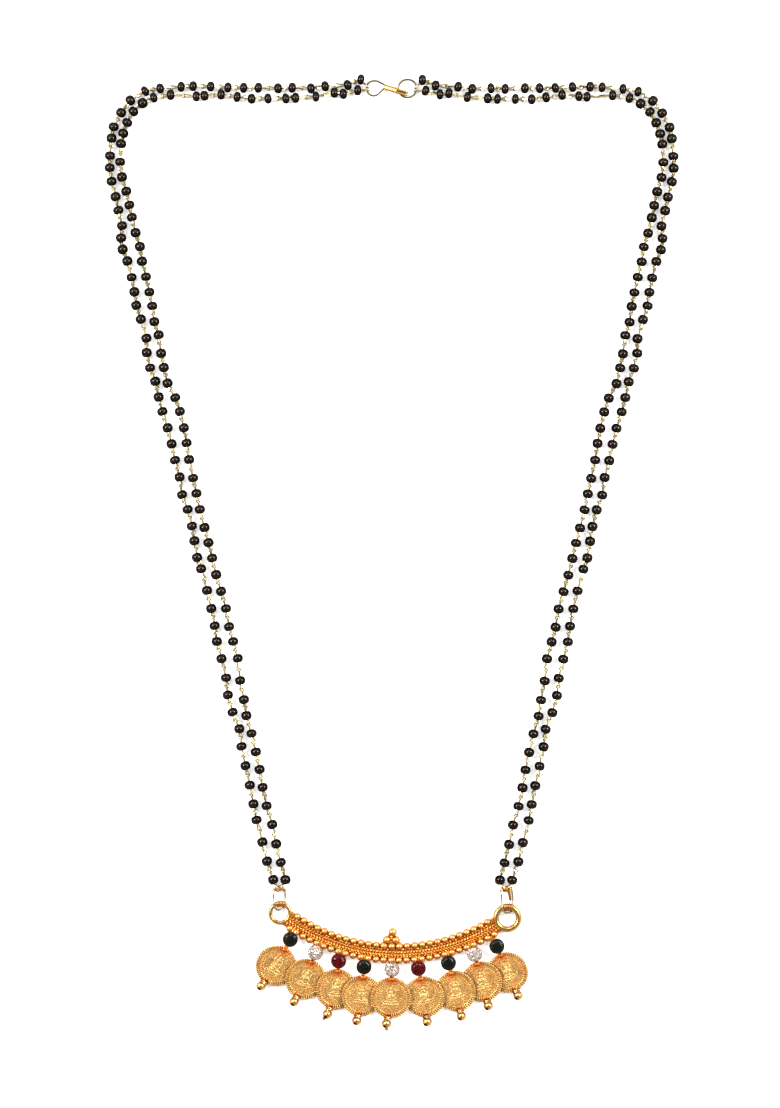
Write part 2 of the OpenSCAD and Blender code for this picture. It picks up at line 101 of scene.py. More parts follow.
# The crown: its places are a radius on the bar's arc and a distance to the side
CROWN_GRANULES = ((56.9, -1.6), (56.9, 1.3), (54.3, 0.2))
CROWN_SEAT_SHARE = 0.8
CROWN_SEAT_DROP = 0.4
FILLER_D = 1.1
CROWN_FILLERS = ((55.9, -0.2), (57.6, -0.1), (57.5, 0.7), (56.6, 0.1))
CROWN_PLATE = ((UPPER_ROW_R, -2.3), (UPPER_ROW_R, 2.3), (53.7, 0.6), (53.7, -0.6))
CROWN_PLATE_T = 1.3
CROWN_Z = 1.5

# The end rings: where each sits, the diameter of its middle and of its wire. Each is bound with finer
# wire where its link hangs
END_RING_Z = 1.55
END_RINGS = ((36.6, 6.35, 1.35), (-37.5, 7.4, 1.9))
BINDING_D = 0.42
BINDING_TURNS = 6
BINDING_HALF = math.radians(25)
BINDING_CLEAR = 0.2
BINDING_INWARD = 0.15

# Stones, their cups on short arms, and the lugs under them, each with a neck of three wires
STONE_R = 66.3
CUP_FLOOR_Z = 1.95
CUP_R = 2.46
ARM_R = 63.7
ARM_Z = 1.5
ARM_SIZE = (2.2, 1.8, 1.2)
STONE_SEAT_Z = 2.35
STONE_TURN = 17
STONE_ROWS = (
    (1.18, 0.0, 8, 0), (2.36, 0.75, 16, 0), (2.36, 1.0, 16, 0), (1.95, 1.4, 8, 22.5), (1.36, 1.65, 8, 0),
)
CUP_SECTION = (
    (0, CUP_FLOOR_Z), (2.2, CUP_FLOOR_Z), (2.4, 2.12), (CUP_R, 2.4), (CUP_R, 3.14), (2.44, 3.2),
    (2.42, 3.22), (2.4, 3.2), (2.39, 3.1), (2.39, 2.3), (0, 2.3),
)
POST_SECTION = ((0, 0.25), (0.95, 0.25), (0.95, 0.7), (0.4, 0.7), (0.4, 2.0))
LUG_Z = 1.15
LUG_SECTION = ((0.75, -0.25), (1.3, -0.25), (1.3, 0.25), (0.75, 0.25), (0.75, -0.25))
NECK_FROM = 1.05
NECK_TOP = 1.85
NECK_D = 0.6
NECK_WIRES = (-0.45, 0, 0.45)

# The nine drops from left to right, in degrees with the left as positive: where the stone sits, which
# way its coin hangs and which way the ball points, each with how much further out than usual it is,
# and which way the ball's small tip granule points, where it has one
Drop = namedtuple("Drop", "stone stone_out coin coin_out ball ball_out tip")
DROPS = (
    Drop(29.8, 0.0, 27.8, 0.5, 37.2, 0.0, None),
    Drop(21.8, 0.0, 21.0, 0.0, 26.3, 0.0, None),
    Drop(14.9, 0.0, 5.0, 0.0, 19.6, 0.35, 38.0),
    Drop(7.6, 0.0, 5.0, 0.2, 10.8, 0.05, None),
    Drop(-0.3, 0.0, 2.0, -0.15, 10.0, 0.35, 0.0),
    Drop(-7.7, 0.0, -12.0, 0.2, -6.2, 0.0, None),
    Drop(-16.3, 0.0, -14.5, 0.2, -12.5, 0.15, None),
    Drop(-24.0, 0.0, -15.5, 0.0, -14.3, -0.1, None),
    Drop(-30.6, 0.8, -22.0, 0.0, -24.2, 0.0, None),
)
MIDDLE_DROP = 4
OUTER_DROPS = {0: 1, 8: 7}
STONE_KINDS = ("green", "clear", "red", "green", "clear", "red", "green", "clear", "green")

# The coins: their size and relief, how each lies over its neighbour, and the ball at the foot
COIN_D = 13.0
COIN_T = 0.8
COIN_SPREAD = 1.025
COIN_GAP = 0.2
COIN_DROP = 9.45
COIN_LOW_EDGE = 0.4
COIN_GROUND = 0.22
COIN_COLUMNS = 156
RIM_R = 6.3
COIN_SECTION = (
    (0, COIN_GROUND), (1.5, COIN_GROUND), (3.0, COIN_GROUND), (4.4, COIN_GROUND), (4.5, 0.34),
    (4.68, 0.34), (4.78, COIN_GROUND), (4.88, COIN_GROUND), (5.02, 0.33), (5.5, 0.35), (6.0, 0.36),
    (RIM_R, COIN_T / 2), (COIN_D / 2, 0.28), (COIN_D / 2, -0.3), (6.38, -COIN_T / 2),
    (3.2, -COIN_T / 2), (0, -COIN_T / 2),
)
FLUTE_R = 4.95
FLUTE_END_R = 6.4
FLUTE_DEPTH = 0.24
NOTCH_R = 6.25
NOTCH_SIZE = 0.975
RELIEF_FROM = 0.14
RELIEF_HEIGHT = 0.22
FIGURE_SIZE = 1.15
FIGURE_DROP = 0.2
FIGURE_Z = 0.19
WREATH = (3.05, 3.55, 4.05)
BUD_PITCH = 0.62
OUTER_LEAN = 0.09
BALL_REACH = 8.15
BALL_Z = 1.55
TIP_D = 1.1
TIP_REACH = 1.8
COLLAR_D = 2.1
CUFF_D = 2.15
CUFF_WIRE_D = 0.5
CUFFS = (0.3, 0.8)

# The solder pads on a coin: their diameter, how far out they sit at the lug and at the ball, and how
# far solder has run from each joint
PAD_D = 1.9
LUG_PAD_R = 5.9
BALL_PAD_R = 5.6
LUG_RUN = 3.0
BALL_RUN = 2.2

# Bead lines: the middles of the left half's beads, from the clasp down to the link. The right half
# mirrors them, a little lower and leaning out down the line, and the first beads of each are flatter
RIGHT_LEAN = 0.0027
RIGHT_LEAN_FROM = 151
RIGHT_DROP = 0.15
FLAT_BEADS = 14
RUNS = 8
BEAD_LINES = {
    "outer": (
        (-10, 154), (-14.3, 152.2), (-21.6, 151.8), (-26.2, 151.1), (-32.3, 151.3), (-36.9, 151.1),
        (-43.3, 151.3), (-48.1, 151.3), (-53.2, 151.4), (-58.8, 151.7), (-64.5, 151.8), (-68.4, 151.6),
        (-75.2, 151.1), (-80.1, 150.2), (-84.9, 147.2), (-87.9, 143.2), (-90.3, 138.6), (-91, 134.9),
        (-91.5, 129.2), (-91.6, 125.3), (-91, 120.9), (-89.7, 115.9), (-88.8, 111.5), (-87.6, 106.5),
        (-87.9, 102.5), (-87.4, 98.8), (-85.9, 95), (-84.5, 89.7), (-83.6, 85), (-83, 80.6),
        (-81.5, 76.1), (-79.7, 69.9), (-79.6, 65.2), (-78.5, 60.3), (-76.8, 55.9), (-75.7, 50.8),
        (-74.5, 46.1), (-72.8, 40.8), (-71.5, 35.6), (-70.4, 30.3), (-68.9, 24.8), (-68.1, 19.1),
        (-66.3, 14.3), (-64.9, 8.9), (-64.1, 4.1), (-63.2, -1.3), (-61.9, -5), (-60, -12),
        (-58.6, -17.9), (-57.5, -23.5), (-56.8, -28.6), (-55.3, -34.2), (-53.8, -40.4), (-53.2, -46),
        (-51.7, -51.6), (-49.5, -57), (-48.8, -62.7), (-47.5, -69), (-46.1, -75.3), (-44.9, -81.4),
        (-43.9, -86.6), (-42, -93.8), (-40.5, -100), (-38.5, -106),
    ),
    "inner": (
        (-11, 150.5), (-15.7, 149.3), (-18.6, 149.7), (-24.6, 148.4), (-31.2, 148), (-34.4, 147.8),
        (-40.2, 147.8), (-45.5, 147.7), (-50.2, 148.3), (-55.4, 149.1), (-60.8, 148.7), (-63.5, 148.5),
        (-71.8, 149), (-77.3, 148.1), (-80.9, 146.3), (-83.9, 143.6), (-85.9, 140), (-87.2, 136.5),
        (-87.9, 133.1), (-88.2, 127.2), (-87.6, 122.3), (-86.2, 117.7), (-85.2, 113.2), (-84.4, 109.2),
        (-83.2, 104.2), (-81.8, 99.7), (-81.1, 94.9), (-79.8, 89.9), (-78.7, 84.9), (-77.8, 80.4),
        (-77.1, 75.3), (-75.7, 71), (-74.9, 65), (-74, 60.4), (-72.8, 55.3), (-70.3, 50.6),
        (-68.8, 46.1), (-67.5, 40.8), (-66.6, 35.9), (-65.8, 30.5), (-64.5, 24.5), (-63.4, 19.5),
        (-62.3, 14.3), (-60.8, 8.4), (-59.5, 3.5), (-58.3, -1.5), (-57, -6.9), (-55.4, -12.3),
        (-53.8, -17.9), (-52.8, -23.8), (-51.5, -28.6), (-50, -34.1), (-49.2, -41.3), (-48, -47.5),
        (-47.2, -52.7), (-45.5, -58.5), (-44.1, -64.5), (-42.9, -70.2), (-41.9, -76), (-40.6, -82),
        (-38.8, -88.1), (-37.5, -94.4), (-36, -100.4), (-34.5, -106),
    ),
}
BEAD_Z = 1.75
BEAD_TURN = 7
BEAD_STRETCH = (0.9, 1.05)

# The wire eyes at the ends of the lines, the loops between the beads, the wraps round each end's stem,
# and the turns that tangle in a link
CLASP_EYES = {"outer": (-8.05, 151.85), "inner": (-8.05, 150.45)}
CLASP_EYE_Z = {"left": 1.4, "right": 1.1}
LINK_EYES = {"outer": (-37.35, -108.25), "inner": (-35.75, -108.25)}
LINK_EYE_Z = {"left": {"outer": 1.9, "inner": 1.2}, "right": {"outer": 1.2, "inner": 1.9}}
EYE_D = 1.7
EYE_WIRE_D = 0.44
LOOP_TIP = 2.8
LOOP_NECK = 1.7
LOOP_ROLL = 25
STEM_D = 0.46
STEM_FROM = 0.7
CLASP_WRAP_FROM = 1.0
LINK_WRAP_FROM = 1.35
WRAP_D = 0.3
WRAP_REACH = 0.32
WRAP_POINTS = 30
WRAP_STEP = 0.63
TANGLE = (-0.5, 0.1, 0.6)
TANGLE_SWING = 1.2
TANGLE_TIP = (0.7, 1.5)

# The links and the clasp: the plating's thickness, the hook's shank, which stands a little to the side
# and is bound with wire, and the wrapped tail inside the right link
PLATING = 0.07
SHANK_X = -2.4
SHANK_SHIFT = 0.55
SHANK_SPREAD = 1.8
SHANK_ENDS = (Vector((-2.0, 151.5, 1.5)), Vector((1.6, 150.4, 1.5)))
SHANK_REACHES = (0.82, 0.42)
SHANK_TURNS = 7
SHANK_WIRE_D = 0.4
TAIL_ENDS = (Vector((37.9, -109.2, 1.9)), Vector((38.6, -112.6, 1.2)))
TAIL_REACH = 0.3
TAIL_TURNS = 9
TAIL_WIRE_D = 0.36
TAIL_CORE_D = 0.4
COIL_STEPS = 16
COIL_STEP = math.tau / COIL_STEPS

# The stage, in metres: the floor's half width and its gap below the necklace, the softboxes' places,
# sizes and watts, how bright the tent and its opening are, and the camera's height
FLOOR_HALF = 4
FLOOR_GAP = 0.00002
SOFTBOXES = {
    "softbox_left": ((-0.6, 0.14, 0.64), 0.28, 8.0),
    "softbox_right": ((0.6, 0.2, 0.64), 0.28, 8.0),
    "softbox_back": ((-0.1, 0.6, 0.85), 0.4, 3.0),
}
TENT_EDGE = 0.8
TENT_TOP = 0.97
TENT_LIGHT = 0.5
TENT_DARK = 0.1
CAMERA_UP = 1.0
CAMERA_FROM = 0.0015
SENSOR_MM = 36


def linear(hex_code):
    """Turn an sRGB hex colour into the linear numbers that shaders take."""
    channels = [int(hex_code[k : k + 2], 16) / 255 for k in (1, 3, 5)]
    return tuple(c / 12.92 if c <= 0.04045 else ((c + 0.055) / 1.055) ** 2.4 for c in channels)


def every(size_mm):
    """Give the texture scale at which a pattern has one feature every size_mm on Object coordinates."""
    return 1 / (size_mm * MM)


def feed(tree, socket, value):
    """Link what feeds a socket, or set its value, a colour's with full opacity."""
    if isinstance(value, bpy.types.NodeSocket):
        tree.links.new(value, socket)
    else:
        socket.default_value = (*value, 1.0) if socket.type == "RGBA" else value


def add_node(tree, kind, output, feeds=(), **settings):
    """Add a shader node, set its attributes, feed its sockets, and give one of its outputs."""
    node = tree.nodes.new(f"ShaderNode{kind}")
    for name, value in settings.items():
        setattr(node, name, value)
    for socket, value in dict(feeds).items():
        feed(tree, node.inputs[socket], value)
    return node.outputs[output]


def new_material(name):
    """Start a material, and give it, its tree and its Object coordinates."""
    material = bpy.data.materials.new(name)
    material.use_nodes = True
    return material, material.node_tree, add_node(material.node_tree, "TexCoord", "Object")


def finish_material(material, feeds):
    """Feed the shader's own sockets, and give the finished material."""
    tree = material.node_tree
    for socket, value in feeds.items():
        feed(tree, tree.nodes["Principled BSDF"].inputs[socket], value)
    return material


def finish_metal(material, colour, tint, rough, normal):
    """Feed the shader's own sockets for a plated metal, and give the finished material."""
    return finish_material(material, {
        "Base Color": colour, "Specular Tint": tint, "Roughness": rough, "Normal": normal,
        "Metallic": 1.0,
    })


def facing(tree, way, low, high):
    """Give a mask that rises from 0 to 1 as a piece's surface turns towards a direction."""
    normal = add_node(tree, "TexCoord", "Normal")
    share = add_node(tree, "VectorMath", "Value", {0: normal, 1: way}, operation="DOT_PRODUCT")
    return add_node(tree, "MapRange", "Result", {"Value": share, "From Min": low, "From Max": high})


def paint_flank_shade(tree, colour, flank_shade, low, high):
    """Paint shade on the flanks, which turn away from straight up, in a darker colour, and give the new
    colour.
    """
    top = facing(tree, UP, low, high)
    return add_node(tree, "Mix", 2, {0: top, 6: flank_shade, 7: colour}, data_type="RGBA")


def drift(tree, place, size_mm, detail, low, high, rough=0.5):
    """Give a mask of soft patches, about one every size_mm."""
    noise = add_node(
        tree, "TexNoise", "Fac",
        {"Vector": place, "Scale": every(size_mm), "Detail": detail, "Roughness": rough},
    )
    return add_node(tree, "MapRange", "Result", {"Value": noise, "From Min": low, "From Max": high})


def dented(tree, place, size_mm, detail, strength, depth_mm):
    """Give a noise with one dent about every size_mm, and the normal of the surface that it dents."""
    noise = add_node(
        tree, "TexNoise", "Fac", {"Vector": place, "Scale": every(size_mm), "Detail": detail}
    )
    bump = {"Height": noise, "Strength": strength, "Distance": depth_mm * MM}
    return noise, add_node(tree, "Bump", "Normal", bump)


def bar_gold(colours):
    """Cast and soldered brass with orange gold plating: bright on the tops of the granules, with a deeper
    burnt orange painted low down between them as shade, where the plating is also rougher."""
    material, tree, place = new_material("plated_brass_cast")
    height = add_node(tree, "SeparateXYZ", "Z", {"Vector": place})
    crevice = add_node(
        tree, "MapRange", "Result", {"Value": height, "From Min": 0.9 * MM, "From Max": 1.9 * MM}
    )
    # Plating varies over about one granule
    patches = drift(tree, place, 1.1, 2.0, 0.38, 0.62)
    tint = add_node(tree, "Mix", 2, {0: patches, 6: colours.bar, 7: colours.ball}, data_type="RGBA")
    # Painted shade: a burnt orange low down between the granules, where shade falls
    colour = add_node(tree, "Mix", 2, {0: crevice, 6: colours.bar_crevice_shade, 7: tint}, data_type="RGBA")
    rough = add_node(tree, "MapRange", "Result", {"Value": crevice, "To Min": 0.5, "To Max": 0.36})
    # Casting skin: shallow pits about a third of a millimetre apart
    _, skin = dented(tree, place, 0.35, 3.0, 0.8, 0.1)
    # Painted shade on the flanks, which turn away from straight up
    colour = paint_flank_shade(tree, colour, colours.flank_shade, -0.2, 0.5)
    return finish_metal(material, colour, colours.bar, rough, skin)


def coin_gold(colours):
    """Stamped brass with sandy matte gold plating: the raised relief is painted pale as a highlight, the
    ground darker.
    """
    material, tree, place = new_material("plated_brass_stamped")
    relief, solder, edge_and_flute_shade = (
        add_node(tree, "Attribute", "Fac", attribute_type="GEOMETRY", attribute_name=name)
        for name in ("relief", "solder", "edge_and_flute_shade")
    )
    # Wear and tarnish drift from coin to coin, with smaller patches in between
    worn = drift(tree, place, 5.0, 4.0, 0.3, 0.62, 0.62)
    # The die's sandblasted grain, drawn at half a millimetre so that it shows
    speck, grain = dented(tree, place, 0.5, 3.0, 1.0, 0.16)
    bright = add_node(
        tree, "MapRange", "Result", {"Value": speck, "From Min": 0.4, "From Max": 0.6, "To Max": 0.65}
    )
    # Painted highlight: the raised relief, with the grain's bright specks, is drawn paler than the ground
    raised = add_node(tree, "Math", "Value", {0: relief, 1: 0.35, 2: bright}, operation="MULTIPLY_ADD")
    # Orange solder has run out over the plating at the two joints
    spread = add_node(tree, "MapRange", "Result", {"Value": solder, "From Min": 0.0, "From Max": 0.6})
    colour = colours.coin_deep
    # Painted shade comes last: a dark line round the edge and darker flutes towards the coin's foot
    for mask, coat in (
        (worn, colours.coin), (raised, colours.coin_relief_highlight), (spread, colours.solder), (edge_and_flute_shade, colours.edge_and_flute_shade)
    ):
        colour = add_node(tree, "Mix", 2, {0: mask, 6: colour, 7: coat}, data_type="RGBA")
    return finish_metal(material, colour, colours.coin, 0.42, grain)


def polished_gold(name, colours, light, flank_shade, crescent_shade, dent_mm, depth_mm, rough):
    """Polished gold plating on balls and granules: bright, with shallow dents of a given width, painted
    shade on the flanks, and a dark crescent of painted shade low on one side."""
    material, tree, place = new_material(name)
    waves, bump = dented(tree, place, dent_mm, 1.0, 0.6, depth_mm)
    colour = add_node(tree, "Mix", 2, {0: waves, 6: colours.ball, 7: light}, data_type="RGBA")
    # Painted shade on the flanks
    colour = paint_flank_shade(tree, colour, flank_shade, 0.2, 0.85)
    # Painted shade: a dark crescent where the surface faces front and left
    crescent = facing(tree, (-0.42, -0.62, 0.66), 0.82, 0.95)
    colour = add_node(tree, "Mix", 2, {0: crescent, 6: colour, 7: crescent_shade}, data_type="RGBA")
    return finish_metal(material, colour, colours.bar, rough, bump)


def wire_gold(name, light, deep, flank_shade, rough):
    """Drawn wire with gold plating: bright, with fine die marks, deeper worn spots and painted shade on the
    flanks.
    """
    material, tree, place = new_material(name)
    worn = add_node(tree, "TexNoise", "Fac", {"Vector": place, "Scale": every(1.3), "Detail": 3.0})
    colour = add_node(tree, "Mix", 2, {0: worn, 6: deep, 7: light}, data_type="RGBA")
    _, marks = dented(tree, place, 0.2, 2.0, 0.2, 0.02)
    # Painted shade on the flanks
    colour = paint_flank_shade(tree, colour, flank_shade, 0.1, 0.75)
    return finish_metal(material, colour, deep, rough, marks)


def bead_glass(colours):
    """Lampworked black glass: almost black with a brown-red or bottle-green cast from bead to bead, and
    a wet gloss from the flame."""
    material, tree, place = new_material("black_glass_lampworked")
    # The cast changes within a bead and from bead to bead
    cast = drift(tree, place, 2.2, 2.0, 0.38, 0.62)
    # Flame-softened ripples, two thirds of a millimetre apart
    _, ripples = dented(tree, place, 0.7, 1.0, 0.3, 0.05)
    # The flanks are rubbed by the neighbouring line and have lost most of their gloss
    gloss = add_node(
        tree, "MapRange", "Result", {"Value": facing(tree, UP, 0.6, 0.9), "To Min": 0.0, "To Max": 0.38}
    )
    return finish_material(material, {
        "Base Color": add_node(
            tree, "Mix", 2, {0: cast, 6: colours.bead_green, 7: colours.bead}, data_type="RGBA"
        ),
        "Specular Tint": linear("#ffefda"), "Specular IOR Level": gloss, "Roughness": 0.05, "IOR": 1.5,
        "Normal": ripples,
    })


def stone_glass(name, deep, light, rough, share, sparkle):
    """Foil-backed cut glass: cells smaller than a facet show the foil's light and dark returns through
    the crown, each leaning its own way. Share says how much of the light comes back as from metal."""
    material, tree, place = new_material(name)
    cells = add_node(tree, "TexVoronoi", "Color", {"Vector": place, "Scale": every(0.4)})
    chance = add_node(tree, "SeparateColor", "Red", {"Color": cells})
    value = add_node(tree, "MapRange", "Result", {"Value": chance, "From Min": 0.05, "From Max": 0.5})
    tilt = add_node(tree, "VectorMath", "Vector", {0: cells, 1: (-0.5, -0.5, -0.5)}, operation="ADD")
    facet = add_node(tree, "TexCoord", "Normal")
    leaning = add_node(
        tree, "VectorMath", "Vector", {0: tilt, 1: (sparkle, sparkle, sparkle), 2: facet},
        operation="MULTIPLY_ADD",
    )
    return finish_material(material, {
        "Base Color": add_node(tree, "Mix", 2, {0: value, 6: deep, 7: light}, data_type="RGBA"),
        "Metallic": share, "Roughness": rough, "IOR": 1.5, "Specular IOR Level": 0.2,
        "Normal": add_node(tree, "VectorMath", "Vector", {0: leaning}, operation="NORMALIZE"),
    })


def floor_acrylic(colours):
    """Matte white acrylic sheet lit softly from below, which keeps shadows faint, with the very faint
    clouding that a large sheet has."""
    material, tree, place = new_material("background_acrylic_matte")
    cloud = add_node(tree, "TexNoise", "Fac", {"Vector": place, "Scale": every(120.0), "Detail": 2.0})
    return finish_material(material, {
        "Base Color": add_node(
            tree, "Mix", 2, {0: cloud, 6: colours.floor, 7: colours.floor_cloud}, data_type="RGBA"
        ),
        "Roughness": 0.95, "Specular IOR Level": 0.1, "Emission Color": linear("#ffffff"),
        "Emission Strength": 0.5,
    })


def heading(way):
    """Give a plan direction's angle in radians."""
    return math.atan2(way[1], way[0])


def placed(point, *turns, size=(1, 1, 1)):
    """Give the matrix that sizes a shape, turns it, last turn first, and moves it to a point."""
    matrix = Matrix.Translation(point)
    for angle, axis in turns:
        matrix = matrix @ Matrix.Rotation(angle, 4, axis)
    return matrix @ Matrix.Diagonal((*size, 1))


def on_arc(radius, at):
    """Give the plan point at a radius and an angle left of the bar's middle."""
    angle = math.radians(ARC_MIDDLE - at)
    return ARC_CENTRE + radius * Vector((math.cos(angle), math.sin(angle)))


def on_bar(at, out=0, aside=0, z=0):
    """Give a place on the bar, whose X points away from the arc's centre."""
    turned = placed((*ARC_CENTRE, 0), (math.radians(ARC_MIDDLE - at), "Z"))
    return turned @ Matrix.Translation((out, aside, z))


def hanging(way):
    """Give the plan direction that a drop hangs in."""
    angle = math.radians(way)
    return Vector((-math.sin(angle), -math.cos(angle)))


def lifted(point, z):
    """Give a plan point its height."""
    return Vector((point[0], point[1], z))


def to_side(side, place):
    """Give a bead line's plan point on its own side."""
    x, y = place
    if side == "right":
        x, y = RIGHT_LEAN * (RIGHT_LEAN_FROM - y) - x, y - RIGHT_DROP
    return Vector((x, y))


def stone_at(index):
    """Give a stone's plan point."""
    return on_arc(STONE_R + DROPS[index].stone_out, DROPS[index].stone)


def coin_at(index):
    """Give a coin's plan point."""
    return stone_at(index) + (COIN_DROP + DROPS[index].coin_out) * hanging(DROPS[index].coin)


def outward(index):
    """Give the neighbour that a coin lies on."""
    return index - 1 if index < MIDDLE_DROP else index + 1


def uphill(index):
    """Give the plan direction that a coin rises in."""
    if index in OUTER_DROPS:
        return (coin_at(index) - coin_at(OUTER_DROPS[index])).normalized()
    return (coin_at(outward(index)) - coin_at(index)).normalized()


def lean(index):
    """Give the sine of a coin's tilt, which clears the neighbour that it lies on."""
    if index in OUTER_DROPS:
        return OUTER_LEAN
    apart = (coin_at(index) - coin_at(outward(index))).length
    lift = COIN_T + COIN_GAP
    return max(lift / apart, ((COIN_D - apart) * lean(outward(index)) + lift) / COIN_D)


def coin_tilt(index):
    """Give a coin's tilt in radians."""
    return 0.0 if index == MIDDLE_DROP else math.asin(lean(index))


def coin_z(index):
    """Give the height of a coin's middle."""
    base = COIN_LOW_EDGE + COIN_T / 2
    if index != MIDDLE_DROP:
        return base + COIN_D / 2 * lean(index)
    covers = (
        (COIN_D - (coin_at(near) - coin_at(index)).length) * lean(near)
        for near in (MIDDLE_DROP - 1, MIDDLE_DROP + 1)
    )
    return base + max(covers) + COIN_T + COIN_GAP


def coin_plane(index, offset):
    """Give the point of a coin's middle plane over a place in the plan."""
    rise = math.tan(coin_tilt(index)) * offset.dot(uphill(index))
    return lifted(coin_at(index) + offset, coin_z(index) + rise)


def as_shape(bm):
    """Turn a bmesh's faces outwards, and keep it as a mesh to copy from."""
    bmesh.ops.recalc_face_normals(bm, faces=bm.faces)
    mesh = bpy.data.meshes.new("shape")
    bm.to_mesh(mesh)
    bm.free()
    return mesh


def add_copy(bm, mesh, matrix=None, material=0):
    """Add a copy of a mesh at a place, and give back its vertices."""
    verts, faces = len(bm.verts), len(bm.faces)
    bm.from_mesh(mesh)
    bm.verts.ensure_lookup_table()
    bm.faces.ensure_lookup_table()
    new = bm.verts[verts:]
    if matrix is not None:
        bmesh.ops.transform(bm, matrix=matrix, verts=new)
    for face in bm.faces[faces:]:
        face.material_index = material
    return new


def only(kind, items):
    """Give the vertices or edges among what an operator made."""
    return [item for item in items if isinstance(item, kind)]


def draw_section(points):
    """Start a bmesh with a line through (radius, height) points."""
    bm = bmesh.new()
    verts = [bm.verts.new((r, 0, z)) for r, z in points]
    for pair in zip(verts, verts[1:]):
        bm.edges.new(pair)
    return bm


def spin_round(bm, steps):
    """Spin what a bmesh holds once round Z, and close its seam and poles."""
    bmesh.ops.spin(
        bm, geom=bm.verts[:] + bm.edges[:], cent=(0, 0, 0), axis=(0, 0, 1), angle=math.tau, steps=steps,
        use_merge=True,
    )
    bmesh.ops.remove_doubles(bm, verts=bm.verts, dist=MERGE)


def lathe(points, steps):
    """Spin a line of (radius, height) points about Z and close what stays open."""
    bm = draw_section(points)
    spin_round(bm, steps)
    bmesh.ops.holes_fill(bm, edges=[e for e in bm.edges if e.is_boundary], sides=0)
    return as_shape(bm)


def ring(middle_d, wire_d, steps, sides):
    """Spin a circle of wire into a closed ring in the XY plane."""
    bm = bmesh.new()
    across = placed((middle_d / 2, 0, 0), (QUARTER, "X"))
    bmesh.ops.create_circle(bm, segments=sides, radius=wire_d / 2, matrix=across)
    spin_round(bm, steps)
    return as_shape(bm)


def ball(diameter, around, rows):
    """Make a ball."""
    bm = bmesh.new()
    bmesh.ops.create_uvsphere(bm, u_segments=around, v_segments=rows, radius=diameter / 2)
    return as_shape(bm)


def wire(points, diameter, sides, up=UP):
    """Extrude a round wire through its points."""
    stations = []
    for before, point, after in zip(points[:1] + points, points, points[1:] + points[-1:]):
        z = (after - before).normalized()
        x = up.cross(z).normalized()
        station = Matrix((x, z.cross(x), z)).transposed().to_4x4()
        station.translation = point
        stations.append(station)
    bm = bmesh.new()
    bmesh.ops.create_circle(
        bm, cap_ends=True, segments=sides, radius=diameter / 2, matrix=stations[0]
    )
    edges = bm.edges[:]
    for station, following in zip(stations, stations[1:]):
        made = bmesh.ops.extrude_edge_only(bm, edges=edges)["geom"]
        edges = only(bmesh.types.BMEdge, made)
        bmesh.ops.transform(
            bm, matrix=following @ station.inverted(), verts=only(bmesh.types.BMVert, made)
        )
    bmesh.ops.holes_fill(bm, edges=edges, sides=0)
    return as_shape(bm)


def coil(start, end, across, over, step, count):
    """Give the points of a coil, whose two reaches are across and over, turning step at each point."""
    return [
        start.lerp(end, k / count) + math.cos(step * k) * across + math.sin(step * k) * over
        for k in range(count + 1)
    ]


def soften(bm, edges):
    """Round off the edges of a soldered plate."""
    bmesh.ops.bevel(
        bm, geom=edges, offset=SOFT_EDGE, segments=2, profile=0.5, affect="EDGES", material=-1
    )


def finish_piece(bm, name, materials, replaces=(), sharp=40):
    """Turn a bmesh in millimetres into a piece of the necklace."""
    bmesh.ops.scale(bm, vec=(MM, MM, MM), verts=bm.verts)
    for face in bm.faces:
        face.smooth = True
    mesh = bpy.data.meshes.new(name)
    bm.to_mesh(mesh)
    bm.free()
    mesh.set_sharp_from_angle(angle=math.radians(sharp))
    for material in materials:
        mesh.materials.append(material)
    piece = bpy.data.objects.new(name, mesh)
    bpy.context.scene.collection.objects.link(piece)
    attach(piece, "root")
    if replaces:
        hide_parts(*replaces)


def size_property(name, description, size_mm, low_mm, high_mm):
    """Make a length setting."""
    return bpy.props.FloatProperty(
        name=name, description=description, default=size_mm * MM, min=low_mm * MM, max=high_mm * MM,
        precision=5, unit="LENGTH",
    )


def colour_property(name, description, hex_code):
    """Make a colour setting from its sRGB hex code."""
    return bpy.props.FloatVectorProperty(
        name=name, description=description, default=linear(hex_code), size=3, min=0, max=1,
        subtype="COLOR",
    )


class NecklaceSizes(bpy.types.PropertyGroup):
    """Sizes of the visible pieces."""

    bead_d: size_property("Bead diameter", "Across a glass bead", 3.5, 2, 4)
    bead_l: size_property("Bead length", "Length of a glass bead along its wire", 3.0, 1.5, 3.5)
    flat_bead_d: size_property(
        "Flat bead diameter", "Across one of the flatter beads near the clasp", 3.5, 2, 4
    )
    flat_bead_l: size_property(
        "Flat bead length", "Length of one of the flatter beads near the clasp", 2.45, 1.5, 3.5
    )
    loop_wire_d: size_property(
        "Loop wire", "Thickness of the wire loops between the beads", 0.66, 0.2, 0.8
    )
    loop_w: size_property("Loop width", "Middle width of the wire loops between the beads", 1.35, 0.6, 1.4)
    upper_granule_d: size_property(
        "Upper granules", "Diameter of the granules on the bar's upper edge", 2.35, 1.5, 2.6
    )
    lower_granule_d: size_property(
        "Lower granules", "Diameter of the granules on the bar's lower edge", 2.45, 1.5, 2.6
    )
    crown_granule_d: size_property(
        "Crown granules", "Diameter of the granules of the crown", 2.7, 2, 3
    )
    ball_d: size_property("Ball", "Diameter of the ball below a coin", 3.05, 2, 3.5)


